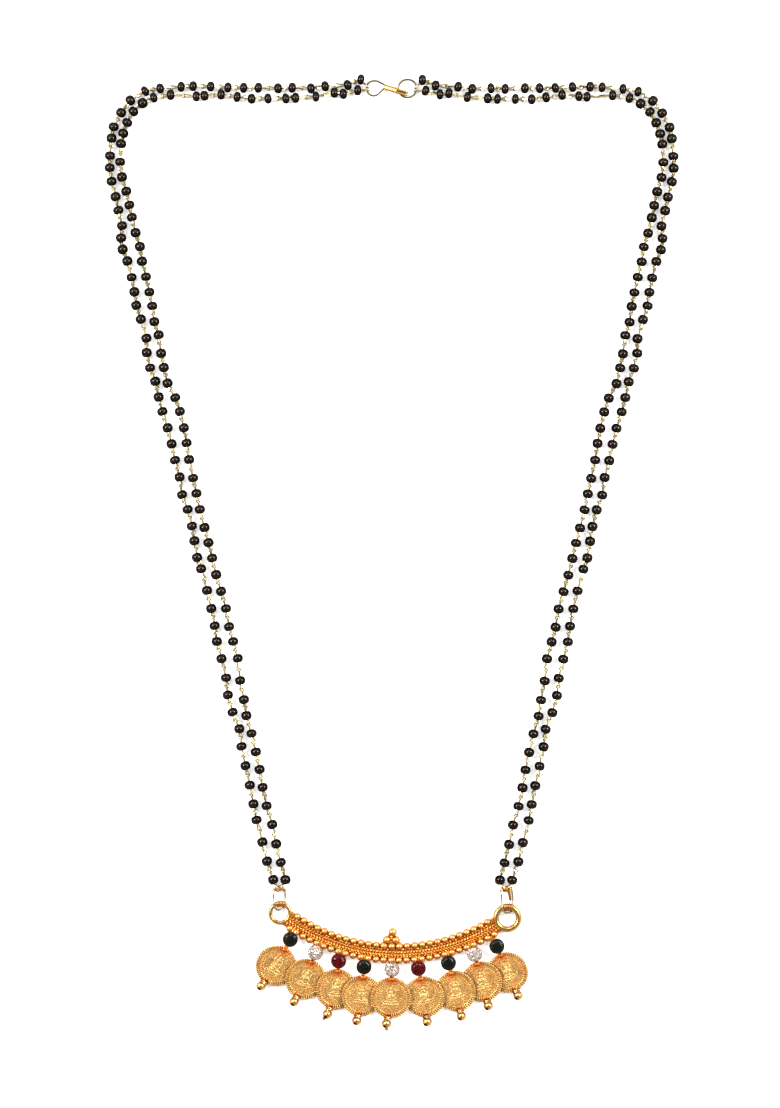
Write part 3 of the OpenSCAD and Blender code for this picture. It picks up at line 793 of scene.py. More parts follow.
class NecklaceColours(bpy.types.PropertyGroup):
    """Colours of the finishes."""

    bar: colour_property("Bar gold", "Orange gold of the bar", "#e8983f")
    bar_light: colour_property("Bar highlights", "Yellow gold of the polished tops", "#f7c887")
    ring: colour_property("Ring gold", "Yellow gold of the end rings", "#ecc47a")
    ring_deep: colour_property("Worn ring", "Worn spots of the end rings", "#c8944a")
    granule: colour_property("Granule gold", "Warm gold of the granules' polished tops", "#f0b274")
    bound: colour_property("Binding wire", "Orange gold of the fine binding wire", "#e2a35c")
    # The worn binding colour is also painted shade on flanks and a painted dark crescent on the granules
    bound_worn_and_shade: colour_property("Worn binding wire", "Worn spots of the binding wire", "#b67c3c")
    # The bar crevice colour is painted shade low down between the granules
    bar_crevice_shade: colour_property("Bar crevices", "Burnt orange between the granules", "#d67a30")
    solder: colour_property("Solder", "Orange solder round the coins' joints", "#df7c35")
    coin: colour_property("Coin gold", "Sandy gold of the coins", "#e0a052")
    # The coin relief colour is a painted highlight on the raised relief
    coin_relief_highlight: colour_property("Coin relief", "Pale gold of the raised relief", "#f2d086")
    coin_deep: colour_property("Coin ground", "Darker gold of the coins' ground", "#c4783a")
    ball: colour_property("Ball gold", "Polished gold of the balls", "#e2a150")
    wire: colour_property("Wire gold", "Pale gold of the wire", "#e9ddb6")
    wire_deep: colour_property("Worn wire", "Worn spots of the wire", "#c6b584")
    aged: colour_property("Aged wire", "Darkened wire of the links and the clasp", "#94865f")
    aged_deep: colour_property("Aged wire, worn", "Worn spots of the darkened wire", "#5e5134")
    # The next two flank colours are painted shade on surfaces that turn away from straight up
    aged_flank_shade: colour_property("Aged wire, flanks", "Unpolished flanks of the darkened wire", "#2a2416")
    wire_flank_shade: colour_property("Wire flanks", "Unpolished flanks of the wire", "#75653e")
    # The flux colour is a painted crescent of shade on the balls
    crescent_shade: colour_property("Flux", "Burnt flux low on the balls", "#2a1606")
    # The dirt colour is painted shade round the coins' edges and in their flutes
    edge_and_flute_shade: colour_property("Dirt", "Dirt round the coins' edges and in their flutes", "#6e3c14")
    # The two flank colours below are painted shade on surfaces that turn away from straight up
    ball_flank_shade: colour_property("Ball flanks", "Unpolished flanks of the balls and granules", "#6f4216")
    flank_shade: colour_property("Gold flanks", "Unpolished flanks of the cast and struck gold", "#8a4a1a")
    bead: colour_property("Bead glass", "Black glass with a brown-red cast", "#170605")
    bead_green: colour_property("Green bead glass", "Black glass with a green cast", "#030806")
    green_deep: colour_property("Green stone, dark", "Dark returns of a green stone", "#050403")
    green_light: colour_property("Green stone, light", "Light returns of a green stone", "#12140e")
    red_deep: colour_property("Red stone, dark", "Dark returns of a red stone", "#1c0102")
    red_light: colour_property("Red stone, light", "Light returns of a red stone", "#54080c")
    clear_deep: colour_property("Clear stone, dark", "Dark returns of a clear stone", "#54463c")
    clear_light: colour_property("Clear stone, light", "Light returns of a clear stone", "#e2d0c4")
    floor: colour_property("Floor", "White background sheet", "#fbfbfb")
    floor_cloud: colour_property("Floor clouding", "Faint clouds in the background sheet", "#f8f8f8")


def press_bead(half_d, half_l):
    """Spin a pressed round bead, with its rim curling into the hole."""
    half = [(0.42, 0.86), (0.5, 0.98), (0.6 * half_d, 0.88), (0.88 * half_d, 0.57)]
    profile = [(r, -z * half_l) for r, z in half] + [(half_d, 0)]
    return lathe(profile + [(r, z * half_l) for r, z in reversed(half)], 12)


def bend_loop(wire_d, half_w):
    """Bend a drawn-out wire loop that starts in its bead and ends at x = LOOP_TIP."""
    turn_x = LOOP_TIP - half_w
    side = [(0.9, 0.13), (1.45, 0.2), (1.95, 0.8 * half_w), (turn_x, half_w)]
    bend = [
        (turn_x + half_w * math.sin(angle), half_w * math.cos(angle))
        for angle in (math.radians(45), math.radians(90), math.radians(135))
    ]
    path = side + bend + [(x, -y) for x, y in reversed(side)]
    return wire([Vector((x, y, 0)) for x, y in path], wire_d, 6)


def string_line(side, line, beads, loop, eye, wire_d, finishes):
    """Build one line of beads, and one piece with all its wire."""
    chance = random.Random(f"{side} {line}")
    places = [to_side(side, place) for place in BEAD_LINES[line]]
    clasp_eye = lifted(to_side(side, CLASP_EYES[line]), CLASP_EYE_Z[side])
    link_eye = lifted(to_side(side, LINK_EYES[line]), LINK_EYE_Z[side][line])
    stops = [clasp_eye.to_2d(), *places, link_eye.to_2d()]
    strung, wires = bmesh.new(), bmesh.new()
    for k, (before, place, after) in enumerate(zip(stops, places, stops[2:])):
        matrix = placed(
            lifted(place, BEAD_Z),
            (heading(after - before) + math.radians(chance.uniform(-BEAD_TURN, BEAD_TURN)), "Z"),
            (QUARTER, "Y"), (chance.uniform(0, math.tau), "Z"),
            size=(1, 1, chance.uniform(*BEAD_STRETCH)),
        )
        add_copy(strung, beads[k >= FLAT_BEADS], matrix)
    for near, far in zip(places, places[1:]):
        roll = chance.uniform(-LOOP_ROLL, LOOP_ROLL)
        stretch = (far - near).length / 2 + wire_d / 2 - LOOP_TIP
        for start, end, turn in ((near, far, roll), (far, near, roll + 90)):
            verts = add_copy(wires, loop)
            bmesh.ops.translate(
                wires, vec=(stretch, 0, 0), verts=[v for v in verts if v.co.x > LOOP_NECK]
            )
            matrix = placed(
                lifted(start, BEAD_Z), (heading(end - start), "Z"), (math.radians(turn), "X")
            )
            bmesh.ops.transform(wires, matrix=matrix, verts=verts)
    end_line(wires, eye, places[0], clasp_eye, CLASP_WRAP_FROM)
    end_line(wires, eye, places[-1], link_eye, LINK_WRAP_FROM, 1)
    # The wire's last turns tangle in the link
    for spread in TANGLE:
        matrix = placed(
            link_eye + Vector((spread, -0.6 - abs(spread) / 2, 0.2)),
            (chance.uniform(-TANGLE_SWING, TANGLE_SWING), "Z"), (chance.uniform(*TANGLE_TIP), "X"),
        )
        add_copy(wires, eye, matrix, 1)
    nodes = [f"beads_{side}_{line}_{run}" for run in range(1, RUNS + 1)]
    finish_piece(strung, f"bead_line_{side}_{line}", finishes[:1], nodes)
    finish_piece(wires, f"wire_loops_{side}_{line}", finishes[1:])


def end_line(wires, eye, place, middle, wrap_from, finish=0):
    """End a line in an eye, with its wire wrapped round the eye's stem from the bead on."""
    start = lifted(place, BEAD_Z)
    way = lifted(middle, BEAD_Z) - start
    add_copy(wires, eye, placed(middle, (heading(way), "Z"), (QUARTER, "X")))
    near = middle - way.normalized() * EYE_D / 2
    out = (near - start).normalized()
    add_copy(wires, wire([start + out * STEM_FROM, near], STEM_D, 8))
    wraps = coil(
        start + out * (wrap_from + 0.02), near - out * 0.03, WRAP_REACH * UP,
        WRAP_REACH * out.cross(UP), WRAP_STEP, WRAP_POINTS,
    )
    add_copy(wires, wire(wraps, WRAP_D, 6, out), material=finish)


class OBJECT_OT_necklace_beads(bpy.types.Operator):
    """Build the four bead lines and the wire loops that join their beads"""

    bl_idname = "object.necklace_beads"
    bl_label = "Bead lines"
    bl_options = {"REGISTER", "UNDO"}

    def execute(self, context):
        sizes, colours = context.scene.necklace_sizes, context.scene.necklace_colours
        finishes = [
            bead_glass(colours),
            wire_gold("plated_wire_drawn", colours.wire, colours.wire_deep, colours.wire_flank_shade, 0.28),
            # The binding's worn colour is also painted shade on its flanks
            wire_gold("plated_wire_binding", colours.bound, colours.bound_worn_and_shade, colours.bound_worn_and_shade, 0.4),
        ]
        beads = (
            press_bead(sizes.flat_bead_d / MM / 2, sizes.flat_bead_l / MM / 2),
            press_bead(sizes.bead_d / MM / 2, sizes.bead_l / MM / 2),
        )
        wire_d = sizes.loop_wire_d / MM
        loop, eye = bend_loop(wire_d, sizes.loop_w / MM / 2), ring(EYE_D, EYE_WIRE_D, 20, 8)
        for side in ("left", "right"):
            for line in BEAD_LINES:
                string_line(side, line, beads, loop, eye, wire_d, finishes)
        return {"FINISHED"}


def add_strip(bm):
    """Spin the flat backing strip's bevelled section along the arc."""
    strip = bmesh.new()
    low, high = BAR_R - STRIP_W / 2, BAR_R + STRIP_W / 2
    corners = ((low, 0.0), (low, STRIP_T), (high, STRIP_T), (high, 0.0))
    face = strip.faces.new([strip.verts.new((x, 0, z)) for x, z in corners])
    strip.transform(on_bar(BAR_LEFT))
    result = bmesh.ops.spin(
        strip, geom=[face], cent=(*ARC_CENTRE, 0), axis=(0, 0, 1),
        angle=math.radians(BAR_LEFT + BAR_RIGHT), steps=STRIP_STEPS,
    )
    if not result["geom_last"]:
        raise RuntimeError("the strip's section did not spin along the arc")
    bmesh.ops.recalc_face_normals(strip, faces=strip.faces)
    soften(strip, [e for e in strip.edges if len(e.link_faces) == 2 and e.calc_face_angle(0) > 1])
    add_copy(bm, as_shape(strip))


def add_ropes(bm):
    """Lay two twisted wires along the middle of the strip."""
    for offset, hand in zip(ROPE_OFFSETS, (1, -1)):
        length = math.radians(BAR_LEFT + BAR_RIGHT) * (BAR_R + offset)
        count = round(length / ROPE_PITCH * 10)
        for strand in (0, math.pi):
            points = []
            for k in range(count + 1):
                at = BAR_LEFT - (BAR_LEFT + BAR_RIGHT) * k / count
                twist = hand * math.tau * length * k / count / ROPE_PITCH + strand
                plan = on_arc(BAR_R + offset + STRAND_REACH * math.cos(twist), at)
                points.append(lifted(plan, ROPE_Z + STRAND_REACH * math.sin(twist)))
            add_copy(bm, wire(points, STRAND_D, 6))


def add_grains(bm):
    """Fuse a row of small grains into the gap on each side of the twisted wires."""
    chance = random.Random("grains")
    grain = bmesh.new()
    bmesh.ops.create_icosphere(grain, subdivisions=2, radius=GRAIN_D / 2)
    grain = as_shape(grain)
    for radius in GRAIN_ROWS:
        step = math.degrees(GRAIN_D * GRAIN_STEP / radius)
        at = BAR_LEFT - step
        while at > -BAR_RIGHT + step:
            out = radius + chance.uniform(-GRAIN_SHIFT, GRAIN_SHIFT)
            z = GRAIN_Z + chance.uniform(*GRAIN_RISE)
            add_copy(bm, grain, on_bar(at, out, 0, z) @ Matrix.Scale(chance.uniform(*GRAIN_SIZES), 4))
            at -= step


def add_row(bm, radius, diameter, middle_d):
    """Set one row of granules on the strip, each on a small ring of wire."""
    step = math.degrees(GRANULE_PITCH / radius)
    end = math.degrees(ROW_END_GAP / radius)
    shapes = {
        d: (ball(d, 18, 12), ring(SEAT_SHARE * d, SEAT_WIRE_D, 18, 6)) for d in (diameter, middle_d)
    }
    for k in range(-int((BAR_RIGHT - end) / step), int((BAR_LEFT - end) / step) + 1):
        granule, seat = shapes[middle_d if abs(k) <= 1 else diameter]
        add_copy(bm, granule, on_bar(k * step, radius, 0, GRANULE_Z), 1)
        add_copy(bm, seat, on_bar(k * step, radius, 0, GRANULE_Z - SEAT_DROP))


def add_crown(bm, diameter):
    """Step the crown's plate and granules up from the middle of the upper row."""
    plate = bmesh.new()
    face = plate.faces.new([plate.verts.new((x, y, 0)) for x, y in CROWN_PLATE])
    top = bmesh.ops.extrude_face_region(plate, geom=[face])["geom"]
    bmesh.ops.translate(plate, vec=(0, 0, CROWN_PLATE_T), verts=only(bmesh.types.BMVert, top))
    add_copy(bm, as_shape(plate), on_bar(0))
    granule, seat = ball(diameter, 20, 14), ring(CROWN_SEAT_SHARE * diameter, SEAT_WIRE_D, 20, 6)
    for out, aside in CROWN_GRANULES:
        add_copy(bm, granule, on_bar(0, out, aside, CROWN_Z), 1)
        add_copy(bm, seat, on_bar(0, out, aside, CROWN_Z - CROWN_SEAT_DROP))
    filler = ball(FILLER_D, 12, 8)
    for out, aside in CROWN_FILLERS:
        add_copy(bm, filler, on_bar(0, out, aside, CROWN_Z))


def add_cups(bm):
    """Solder a stone cup on its arm at each drop, with the headed post under it."""
    cup, post = lathe(CUP_SECTION, 40), lathe(POST_SECTION, 20)
    arm = bmesh.new()
    bmesh.ops.create_cube(arm, size=1, matrix=Matrix.Diagonal((*ARM_SIZE, 1)))
    soften(arm, arm.edges[:])
    arm = as_shape(arm)
    for drop in DROPS:
        add_copy(bm, arm, on_bar(drop.stone, ARM_R + drop.stone_out, 0, ARM_Z))
        for shape in (cup, post):
            add_copy(bm, shape, on_bar(drop.stone, STONE_R + drop.stone_out), 1)


def add_end_rings(bm):
    """Solder the round end rings to both ends of the bar, and bind them with fine wire."""
    count = BINDING_TURNS * COIL_STEPS
    for at, middle_d, wire_d in END_RINGS:
        place = on_bar(at, BAR_R, 0, END_RING_Z)
        add_copy(bm, ring(middle_d, wire_d, 48, 14), place, 2)
        clear = wire_d / 2 + BINDING_CLEAR
        points = []
        for k in range(count + 1):
            angle = QUARTER + BINDING_HALF * (1 - 2 * k / count)
            reach = middle_d / 2 - BINDING_INWARD + clear * math.cos(COIL_STEP * k)
            points.append(place.translation + Vector((
                reach * math.cos(angle), reach * math.sin(angle), clear * math.sin(COIL_STEP * k)
            )))
        add_copy(bm, wire(points, BINDING_D, 6, Vector((1, 0, 0))), material=3)


class OBJECT_OT_necklace_bar(bpy.types.Operator):
    """Build the pendant bar with its granules, twisted wires, crown, cups and end rings"""

    bl_idname = "object.necklace_bar"
    bl_label = "Pendant bar"
    bl_options = {"REGISTER", "UNDO"}

    def execute(self, context):
        sizes, colours = context.scene.necklace_sizes, context.scene.necklace_colours
        upper_d, lower_d = sizes.upper_granule_d / MM, sizes.lower_granule_d / MM
        crown_d = sizes.crown_granule_d / MM
        bm = bmesh.new()
        add_strip(bm)
        add_ropes(bm)
        add_grains(bm)
        add_row(bm, UPPER_ROW_R, upper_d, crown_d)
        add_row(bm, LOWER_ROW_R, lower_d, lower_d)
        add_crown(bm, crown_d)
        add_cups(bm)
        add_end_rings(bm)
        finishes = [
            bar_gold(colours),
            # The granules take the worn binding colour as painted shade on their flanks and as a painted
            # dark crescent
            polished_gold(
                "plated_granules_polished", colours, colours.granule, colours.bound_worn_and_shade,
                colours.bound_worn_and_shade, 0.5, 0.12, 0.42,
            ),
            wire_gold("plated_ring_polished", colours.ring, colours.ring_deep, colours.ball_flank_shade, 0.26),
            # The ring binding takes the worn binding colour as painted shade on its flanks
            wire_gold(
                "plated_wire_ring_binding", colours.granule, colours.bound, colours.bound_worn_and_shade, 0.3
            ),
        ]
        finish_piece(bm, "bar_detail", finishes, ["pendant_bar"])
        return {"FINISHED"}


def cut_stone():
    """Wrap facets round the corners of a brilliant cut: eight sides with star and girdle rows."""
    bm = bmesh.new()
    for radius, z, count, turn in STONE_ROWS:
        place = placed((0, 0, z), (math.radians(turn), "Z"))
        bmesh.ops.create_circle(bm, segments=count, radius=radius, matrix=place)
    bmesh.ops.delete(bm, geom=bm.edges[:], context="EDGES_FACES")
    bmesh.ops.convex_hull(bm, input=bm.verts[:])
    bmesh.ops.dissolve_limit(bm, angle_limit=math.radians(1), verts=bm.verts[:], edges=bm.edges[:])
    bmesh.ops.recalc_face_normals(bm, faces=bm.faces)
    return bm


class OBJECT_OT_necklace_stones(bpy.types.Operator):
    """Cut the nine stones"""

    bl_idname = "object.necklace_stones"
    bl_label = "Stones"
    bl_options = {"REGISTER", "UNDO"}

    def execute(self, context):
        colours = context.scene.necklace_colours
        finishes = {
            "green": stone_glass("green_glass_cut", colours.green_deep, colours.green_light, 0.2, 0.0, 0.3),
            "clear": stone_glass(
                "clear_glass_foiled", colours.clear_deep, colours.clear_light, 0.14, 0.6, 0.9
            ),
            "red": stone_glass("garnet_glass_cut", colours.red_deep, colours.red_light, 0.2, 0.15, 0.4),
        }
        for index, kind in enumerate(STONE_KINDS):
            bm = cut_stone()
            place = placed(
                lifted(stone_at(index), STONE_SEAT_Z), (math.radians(STONE_TURN * index), "Z")
            )
            bmesh.ops.transform(bm, matrix=place, verts=bm.verts)
            name, node = f"cut_stone_{index + 1}", f"stone_{index + 1}"
            finish_piece(bm, name, [finishes[kind]], [node], sharp=1)
        return {"FINISHED"}


def strike_blank():
    """Spin the coin's section, then press the flutes of its broad rim."""
    bm = draw_section(COIN_SECTION)
    spin_round(bm, COIN_COLUMNS)
    grooves = [v for v in bm.verts if round(heading(v.co) / math.tau * COIN_COLUMNS) % 3 == 0]
    flutes = [v for v in grooves if FLUTE_R < v.co.to_2d().length < FLUTE_END_R and v.co.z > 0]
    bmesh.ops.translate(bm, vec=(0, 0, -FLUTE_DEPTH), verts=flutes)
    notches = [v for v in grooves if v.co.to_2d().length > NOTCH_R]
    bmesh.ops.scale(bm, vec=(NOTCH_SIZE, NOTCH_SIZE, 1), verts=notches)
    mark_relief(bm)
    return as_shape(bm)


def mark_relief(bm):
    """Note how high each point stands over the coin's ground, for the finish."""
    layer = bm.verts.layers.float.new("relief")
    for vert in bm.verts:
        vert[layer] = min(max((vert.co.z - RELIEF_FROM) / RELIEF_HEIGHT, 0.0), 1.0)


def mark_solder_and_shade(bm, index):
    """Note for the finish how near each point is to the coin's two solder joints, and where shade is
    painted: round the edge and down in the flutes, more towards the coin's foot."""
    solder = bm.verts.layers.float.new("solder")
    edge_and_flute_shade = bm.verts.layers.float.new("edge_and_flute_shade")
    relief = bm.verts.layers.float["relief"]
    middle = lifted(coin_at(index), coin_z(index))
    down, ball_way = hanging(DROPS[index].coin), hanging(DROPS[index].ball)
    joints = (
        (coin_plane(index, -down * COIN_D / 2), LUG_RUN),
        (coin_plane(index, ball_way * COIN_D / 2), BALL_RUN),
    )
    for vert in bm.verts:
        out = (vert.co - middle).length
        foot = max((vert.co - middle).to_2d().dot(down) / COIN_D * 2, 0.0)
        # Painted shade: the low points of the fluted rim darken towards the foot, and a dark line runs
        # round the edge
        flute = 0.3 + 0.5 * foot if out > FLUTE_R * COIN_SPREAD and vert[relief] < 0.4 else 0.0
        vert[edge_and_flute_shade] = max(flute, min((out - RIM_R * COIN_SPREAD) / 0.15, 1.0))
        vert[solder] = max(max(0.0, 1 - (vert.co - joint).length / reach) for joint, reach in joints)


def strike_figure():
    """Raise a seated figure with a halo on a lotus, out of low domes, in a wreath of buds."""
    bm = bmesh.new()
    domes = [
        (0, 1.72, 0.56, 0.68, 0.17, 0), (0, 2.5, 0.34, 0.42, 0.16, 0), (0, 2.95, 0.15, 0.26, 0.14, 0),
        (0, 0.42, 0.8, 0.98, 0.15, 0), (0, 1.0, 0.3, 0.4, 0.14, 0),
        (0, -0.32, 0.62, 0.5, 0.14, 0), (-0.02, 1.66, 0.07, 0.2, 0.22, 0),
        (0, 1.36, 0.16, 0.05, 0.2, 0), (0, 0.62, 0.42, 0.08, 0.18, 0),
    ]
    for s in (-1, 1):
        domes += [
            (0.21 * s, 1.86, 0.11, 0.05, 0.2, 0), (0.21 * s, 2.0, 0.15, 0.035, 0.19, 8 * s),
            (0.6 * s, 1.62, 0.09, 0.22, 0.13, 0), (0.86 * s, 0.82, 0.34, 0.36, 0.14, 0),
            (1.12 * s, 0.2, 0.22, 0.62, 0.13, 14 * s), (0.78 * s, -0.42, 0.5, 0.2, 0.15, -24 * s),
            (0.72 * s, -0.98, 0.95, 0.34, 0.15, 12 * s), (1.5 * s, -0.95, 0.36, 0.3, 0.13, 0),
        ]
    domes += [(0.62 * k, -1.72 + 0.05 * abs(k), 0.26, 0.48, 0.13, -11 * k) for k in range(-3, 4)]
    for x, y, half_w, half_l, height, turn in domes:
        place = placed(
            (x, y - FIGURE_DROP, FIGURE_Z), (math.radians(turn), "Z"), size=(half_w, half_l, height)
        )
        bmesh.ops.create_uvsphere(
            bm, u_segments=12, v_segments=8, radius=1, matrix=Matrix.Scale(FIGURE_SIZE, 4) @ place
        )
    chance = random.Random("wreath")
    for radius in WREATH:
        count = round(math.tau * radius / BUD_PITCH)
        for k in range(count):
            angle = math.tau * (k + chance.uniform(-0.3, 0.3)) / count
            reach = radius + chance.uniform(-0.1, 0.1)
            place = placed(
                (reach * math.cos(angle), reach * math.sin(angle), 0.22),
                (angle + chance.uniform(-1, 1), "Z"),
                size=(chance.uniform(0.2, 0.34), 0.16, chance.uniform(0.14, 0.24)),
            )
            bmesh.ops.create_icosphere(bm, subdivisions=1, radius=1, matrix=place)
    add_copy(bm, ring(2.8, 0.24, 36, 6), Matrix.Translation((0, 1.75, 0.27)))
    mark_relief(bm)
    return as_shape(bm)


def add_lug(bm, index, lug):
    """Add the flat lug that turns on the post under the cup, and its neck."""
    stone, way = stone_at(index), hanging(DROPS[index].coin)
    add_copy(bm, lug, Matrix.Translation(lifted(stone, LUG_Z)), 1)
    start = lifted(stone + way * NECK_FROM, LUG_Z)
    held = coin_plane(index, -way * (COIN_D / 2 - 1))
    end = lifted(held, min(held.z, NECK_TOP))
    for aside in NECK_WIRES:
        shift = Vector((-way.y, way.x, 0)) * aside
        add_copy(bm, wire([start + shift, end + shift], NECK_D, 10), material=2)


def add_ball(bm, index, drop, tip):
    """Solder the ball below the coin on its collar."""
    way = hanging(DROPS[index].ball)
    flat = coin_plane(index, way * (BALL_REACH + DROPS[index].ball_out))
    middle = lifted(flat, max(flat.z, BALL_Z))
    start = coin_plane(index, way * (COIN_D / 2 - 0.5))
    add_copy(bm, wire([start, middle], COLLAR_D, 16), material=1)
    add_copy(bm, drop, Matrix.Translation(middle), 1)
    out = (middle - start).normalized()
    turn = UP.rotation_difference(out).to_matrix().to_4x4()
    cuff = ring(CUFF_D, CUFF_WIRE_D, 20, 8)
    for along in CUFFS:
        add_copy(bm, cuff, Matrix.Translation(start + out * along) @ turn, 1)
    if DROPS[index].tip is not None:
        foot = middle + lifted(hanging(DROPS[index].tip), 0) * TIP_REACH
        add_copy(bm, tip, Matrix.Translation(foot), 3)


class OBJECT_OT_necklace_coins(bpy.types.Operator):
    """Strike the nine coins with their relief, lugs, collars and balls"""

    bl_idname = "object.necklace_coins"
    bl_label = "Coins"
    bl_options = {"REGISTER", "UNDO"}

    def execute(self, context):
        sizes, colours = context.scene.necklace_sizes, context.scene.necklace_colours
        finishes = [
            coin_gold(colours),
            polished_gold(
                "plated_balls_polished", colours, colours.bar_light, colours.ball_flank_shade, colours.crescent_shade,
                0.9, 0.04, 0.27,
            ),
            bar_gold(colours),
            wire_gold("plated_tip_tarnished", colours.aged, colours.aged_deep, colours.aged_flank_shade, 0.4),
        ]
        blank, figure = strike_blank(), strike_figure()
        drop, tip, pad = ball(sizes.ball_d / MM, 24, 16), ball(TIP_D, 14, 10), ball(PAD_D, 14, 8)
        lug = lathe(LUG_SECTION, 24)
        for index, (_, _, coin_way, _, ball_way, _, _) in enumerate(DROPS):
            bm = bmesh.new()
            bm.verts.layers.float.new("relief")
            axis = Vector((uphill(index)[1], -uphill(index)[0], 0))
            face_up = placed(
                lifted(coin_at(index), coin_z(index)), (coin_tilt(index), axis),
                (math.radians(-coin_way), "Z"), size=(COIN_SPREAD, COIN_SPREAD, 1),
            )
            for shape in (blank, figure):
                add_copy(bm, shape, face_up)
            for joint in (-hanging(coin_way) * LUG_PAD_R, hanging(ball_way) * BALL_PAD_R):
                add_copy(bm, pad, placed(coin_plane(index, joint), size=(1, 1, 0.6)))
            mark_solder_and_shade(bm, index)
            add_lug(bm, index, lug)
            add_ball(bm, index, drop, tip)
            bmesh.ops.recalc_face_normals(bm, faces=bm.faces)
            if "relief" not in bm.verts.layers.float:
                raise RuntimeError("the relief attribute was lost")
            name, node = f"struck_coin_{index + 1}", f"coin_{index + 1}"
            finish_piece(bm, name, finishes, [node])
        return {"FINISHED"}


def plate_wire(name, finishes):
    """Put the plating's thickness on a wire of the links or the clasp."""
    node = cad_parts[name]
    bm = bmesh.new()
    bm.from_mesh(node.data)
    bmesh.ops.transform(bm, matrix=Matrix.Scale(1 / MM, 4) @ node.matrix_world, verts=bm.verts)
    bmesh.ops.remove_doubles(bm, verts=bm.verts, dist=MERGE)
    bmesh.ops.recalc_face_normals(bm, faces=bm.faces)
    bm.normal_update()
    for vert in bm.verts:
        vert.co += PLATING * vert.normal
        vert.co.z = max(vert.co.z, 0.0)
        if name == "clasp_hook":
            vert.co.y += SHANK_SHIFT * math.exp(-(((vert.co.x - SHANK_X) / SHANK_SPREAD) ** 2))
    if name == "clasp_hook":
        for face in bm.faces:
            face.material_index = int(face.calc_center_median().x > SHANK_X)
    finish_piece(bm, f"plated_{name}", finishes, [name])


class OBJECT_OT_necklace_clasp(bpy.types.Operator):
    """Give the links, the hook and the ring their drawn-wire finish"""

    bl_idname = "object.necklace_clasp"
    bl_label = "Links and clasp"
    bl_options = {"REGISTER", "UNDO"}

    def execute(self, context):
        colours = context.scene.necklace_colours
        gold = wire_gold("plated_wire_aged", colours.aged, colours.aged_deep, colours.aged_flank_shade, 0.3)
        yellow = wire_gold(
            "plated_wire_polished", colours.ring, colours.ring_deep, colours.ball_flank_shade, 0.3
        )
        pale = wire_gold("plated_wire_links", colours.wire, colours.aged, colours.wire_flank_shade, 0.3)
        burnt = wire_gold("plated_wire_tail", colours.bound, colours.bound_worn_and_shade, colours.flank_shade, 0.4)
        for name in ("link_left", "link_right"):
            plate_wire(name, [pale])
        for name in ("clasp_hook", "clasp_ring"):
            plate_wire(name, [gold, yellow])
        # The doubled shank is bound with finer wire between the loop and the ring
        start, end = SHANK_ENDS
        way = (end - start).normalized()
        wide, high = SHANK_REACHES
        points = coil(
            start, end, wide * UP.cross(way), high * UP, COIL_STEP, SHANK_TURNS * COIL_STEPS
        )
        bm = bmesh.new()
        add_copy(bm, wire(points, SHANK_WIRE_D, 8, way))
        finish_piece(bm, "shank_binding", [yellow])
        # The line's wire ends in a short wrapped tail inside the right link
        start, end = TAIL_ENDS
        way = (end - start).normalized()
        aside = way.cross(UP).normalized()
        points = coil(
            start, end, TAIL_REACH * aside, TAIL_REACH * way.cross(aside), COIL_STEP,
            TAIL_TURNS * COIL_STEPS,
        )
        bm = bmesh.new()
        add_copy(bm, wire(points, TAIL_WIRE_D, 6, way))
        add_copy(bm, wire([start, end + way * TAIL_REACH], TAIL_CORE_D, 8), material=1)
        finish_piece(bm, "link_tail", [burnt, gold])
        return {"FINISHED"}


def hang_tent():
    """Light the scene through a white tent with a dark opening overhead for the camera."""
    world = bpy.data.worlds.new("studio")
    world.use_nodes = True
    tree = world.node_tree
    way = add_node(tree, "TexCoord", "Generated")
    height = add_node(tree, "SeparateXYZ", "Z", {"Vector": way})
    strength = add_node(
        tree, "MapRange", "Result",
        {
            "Value": height, "From Min": TENT_EDGE, "From Max": TENT_TOP, "To Min": TENT_LIGHT,
            "To Max": TENT_DARK,
        },
    )
    sockets = tree.nodes["Background"].inputs
    feed(tree, sockets["Color"], linear("#fffefc"))
    feed(tree, sockets["Strength"], strength)
    return world


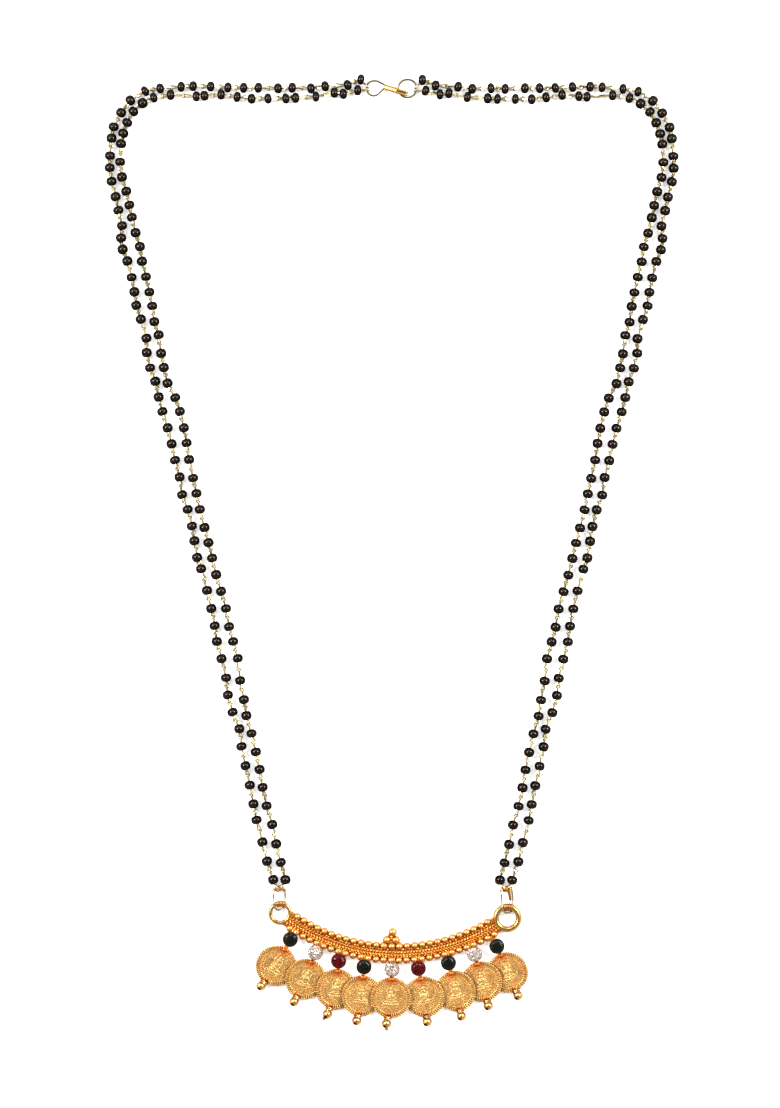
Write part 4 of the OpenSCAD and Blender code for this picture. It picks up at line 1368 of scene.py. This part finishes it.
class SCENE_OT_necklace_stage(bpy.types.Operator):
    """Set up the white floor, the soft studio light and the camera straight above"""

    bl_idname = "scene.necklace_stage"
    bl_label = "Stage"
    bl_options = {"REGISTER", "UNDO"}

    def execute(self, context):
        scene = context.scene
        bm = bmesh.new()
        bmesh.ops.create_grid(bm, x_segments=1, y_segments=1, size=FLOOR_HALF)
        mesh = bpy.data.meshes.new("floor")
        bm.to_mesh(mesh)
        bm.free()
        mesh.materials.append(floor_acrylic(scene.necklace_colours))
        floor = bpy.data.objects.new("floor", mesh)
        floor.location.z = -FLOOR_GAP
        scene.collection.objects.link(floor)
        scene.world = hang_tent()
        for name, (place, size, power) in SOFTBOXES.items():
            lamp = bpy.data.lights.new(name, "AREA")
            lamp.shape = "SQUARE"
            lamp.size = size
            lamp.energy = power
            light = bpy.data.objects.new(name, lamp)
            light.location = place
            light.rotation_euler = (-Vector(place)).to_track_quat("-Z", "Y").to_euler()
            scene.collection.objects.link(light)
        camera = bpy.data.cameras.new("camera")
        camera.sensor_fit = "VERTICAL"
        camera.sensor_height = SENSOR_MM
        camera.lens = SENSOR_MM * CAMERA_UP / (IMAGE_SIZE[1] * PIXEL_MM * MM)
        eye = bpy.data.objects.new("camera", camera)
        eye.location = (IMAGE_MIDDLE[0] * MM, IMAGE_MIDDLE[1] * MM, CAMERA_UP + CAMERA_FROM)
        scene.collection.objects.link(eye)
        scene.camera = eye
        scene.view_settings.view_transform = "Standard"
        return {"FINISHED"}


class VIEW3D_PT_necklace(bpy.types.Panel):
    """List the necklace's settings and the steps that build it"""

    bl_label = "Necklace"
    bl_space_type = "VIEW_3D"
    bl_region_type = "UI"
    bl_category = "Necklace"

    def draw(self, context):
        layout = self.layout
        for group in (context.scene.necklace_sizes, context.scene.necklace_colours):
            box = layout.box()
            for name in group.__annotations__:
                box.prop(group, name)
        for operator in OPERATORS:
            layout.operator(operator.bl_idname)


OPERATORS = (
    OBJECT_OT_necklace_beads,
    OBJECT_OT_necklace_bar,
    OBJECT_OT_necklace_stones,
    OBJECT_OT_necklace_coins,
    OBJECT_OT_necklace_clasp,
    SCENE_OT_necklace_stage,
)
CLASSES = (NecklaceSizes, NecklaceColours, *OPERATORS, VIEW3D_PT_necklace)


def register():
    """Register the classes and their settings."""
    for cls in CLASSES:
        bpy.utils.register_class(cls)
    bpy.types.Scene.necklace_sizes = bpy.props.PointerProperty(type=NecklaceSizes)
    bpy.types.Scene.necklace_colours = bpy.props.PointerProperty(type=NecklaceColours)


def unregister():
    """Take the settings and the classes away."""
    del bpy.types.Scene.necklace_colours
    del bpy.types.Scene.necklace_sizes
    for cls in reversed(CLASSES):
        bpy.utils.unregister_class(cls)


def main():
    """Build the necklace and its stage."""
    register()
    bpy.ops.object.necklace_beads()
    bpy.ops.object.necklace_bar()
    bpy.ops.object.necklace_stones()
    bpy.ops.object.necklace_coins()
    bpy.ops.object.necklace_clasp()
    bpy.ops.scene.necklace_stage()


if __name__ == "__main__":
    main()
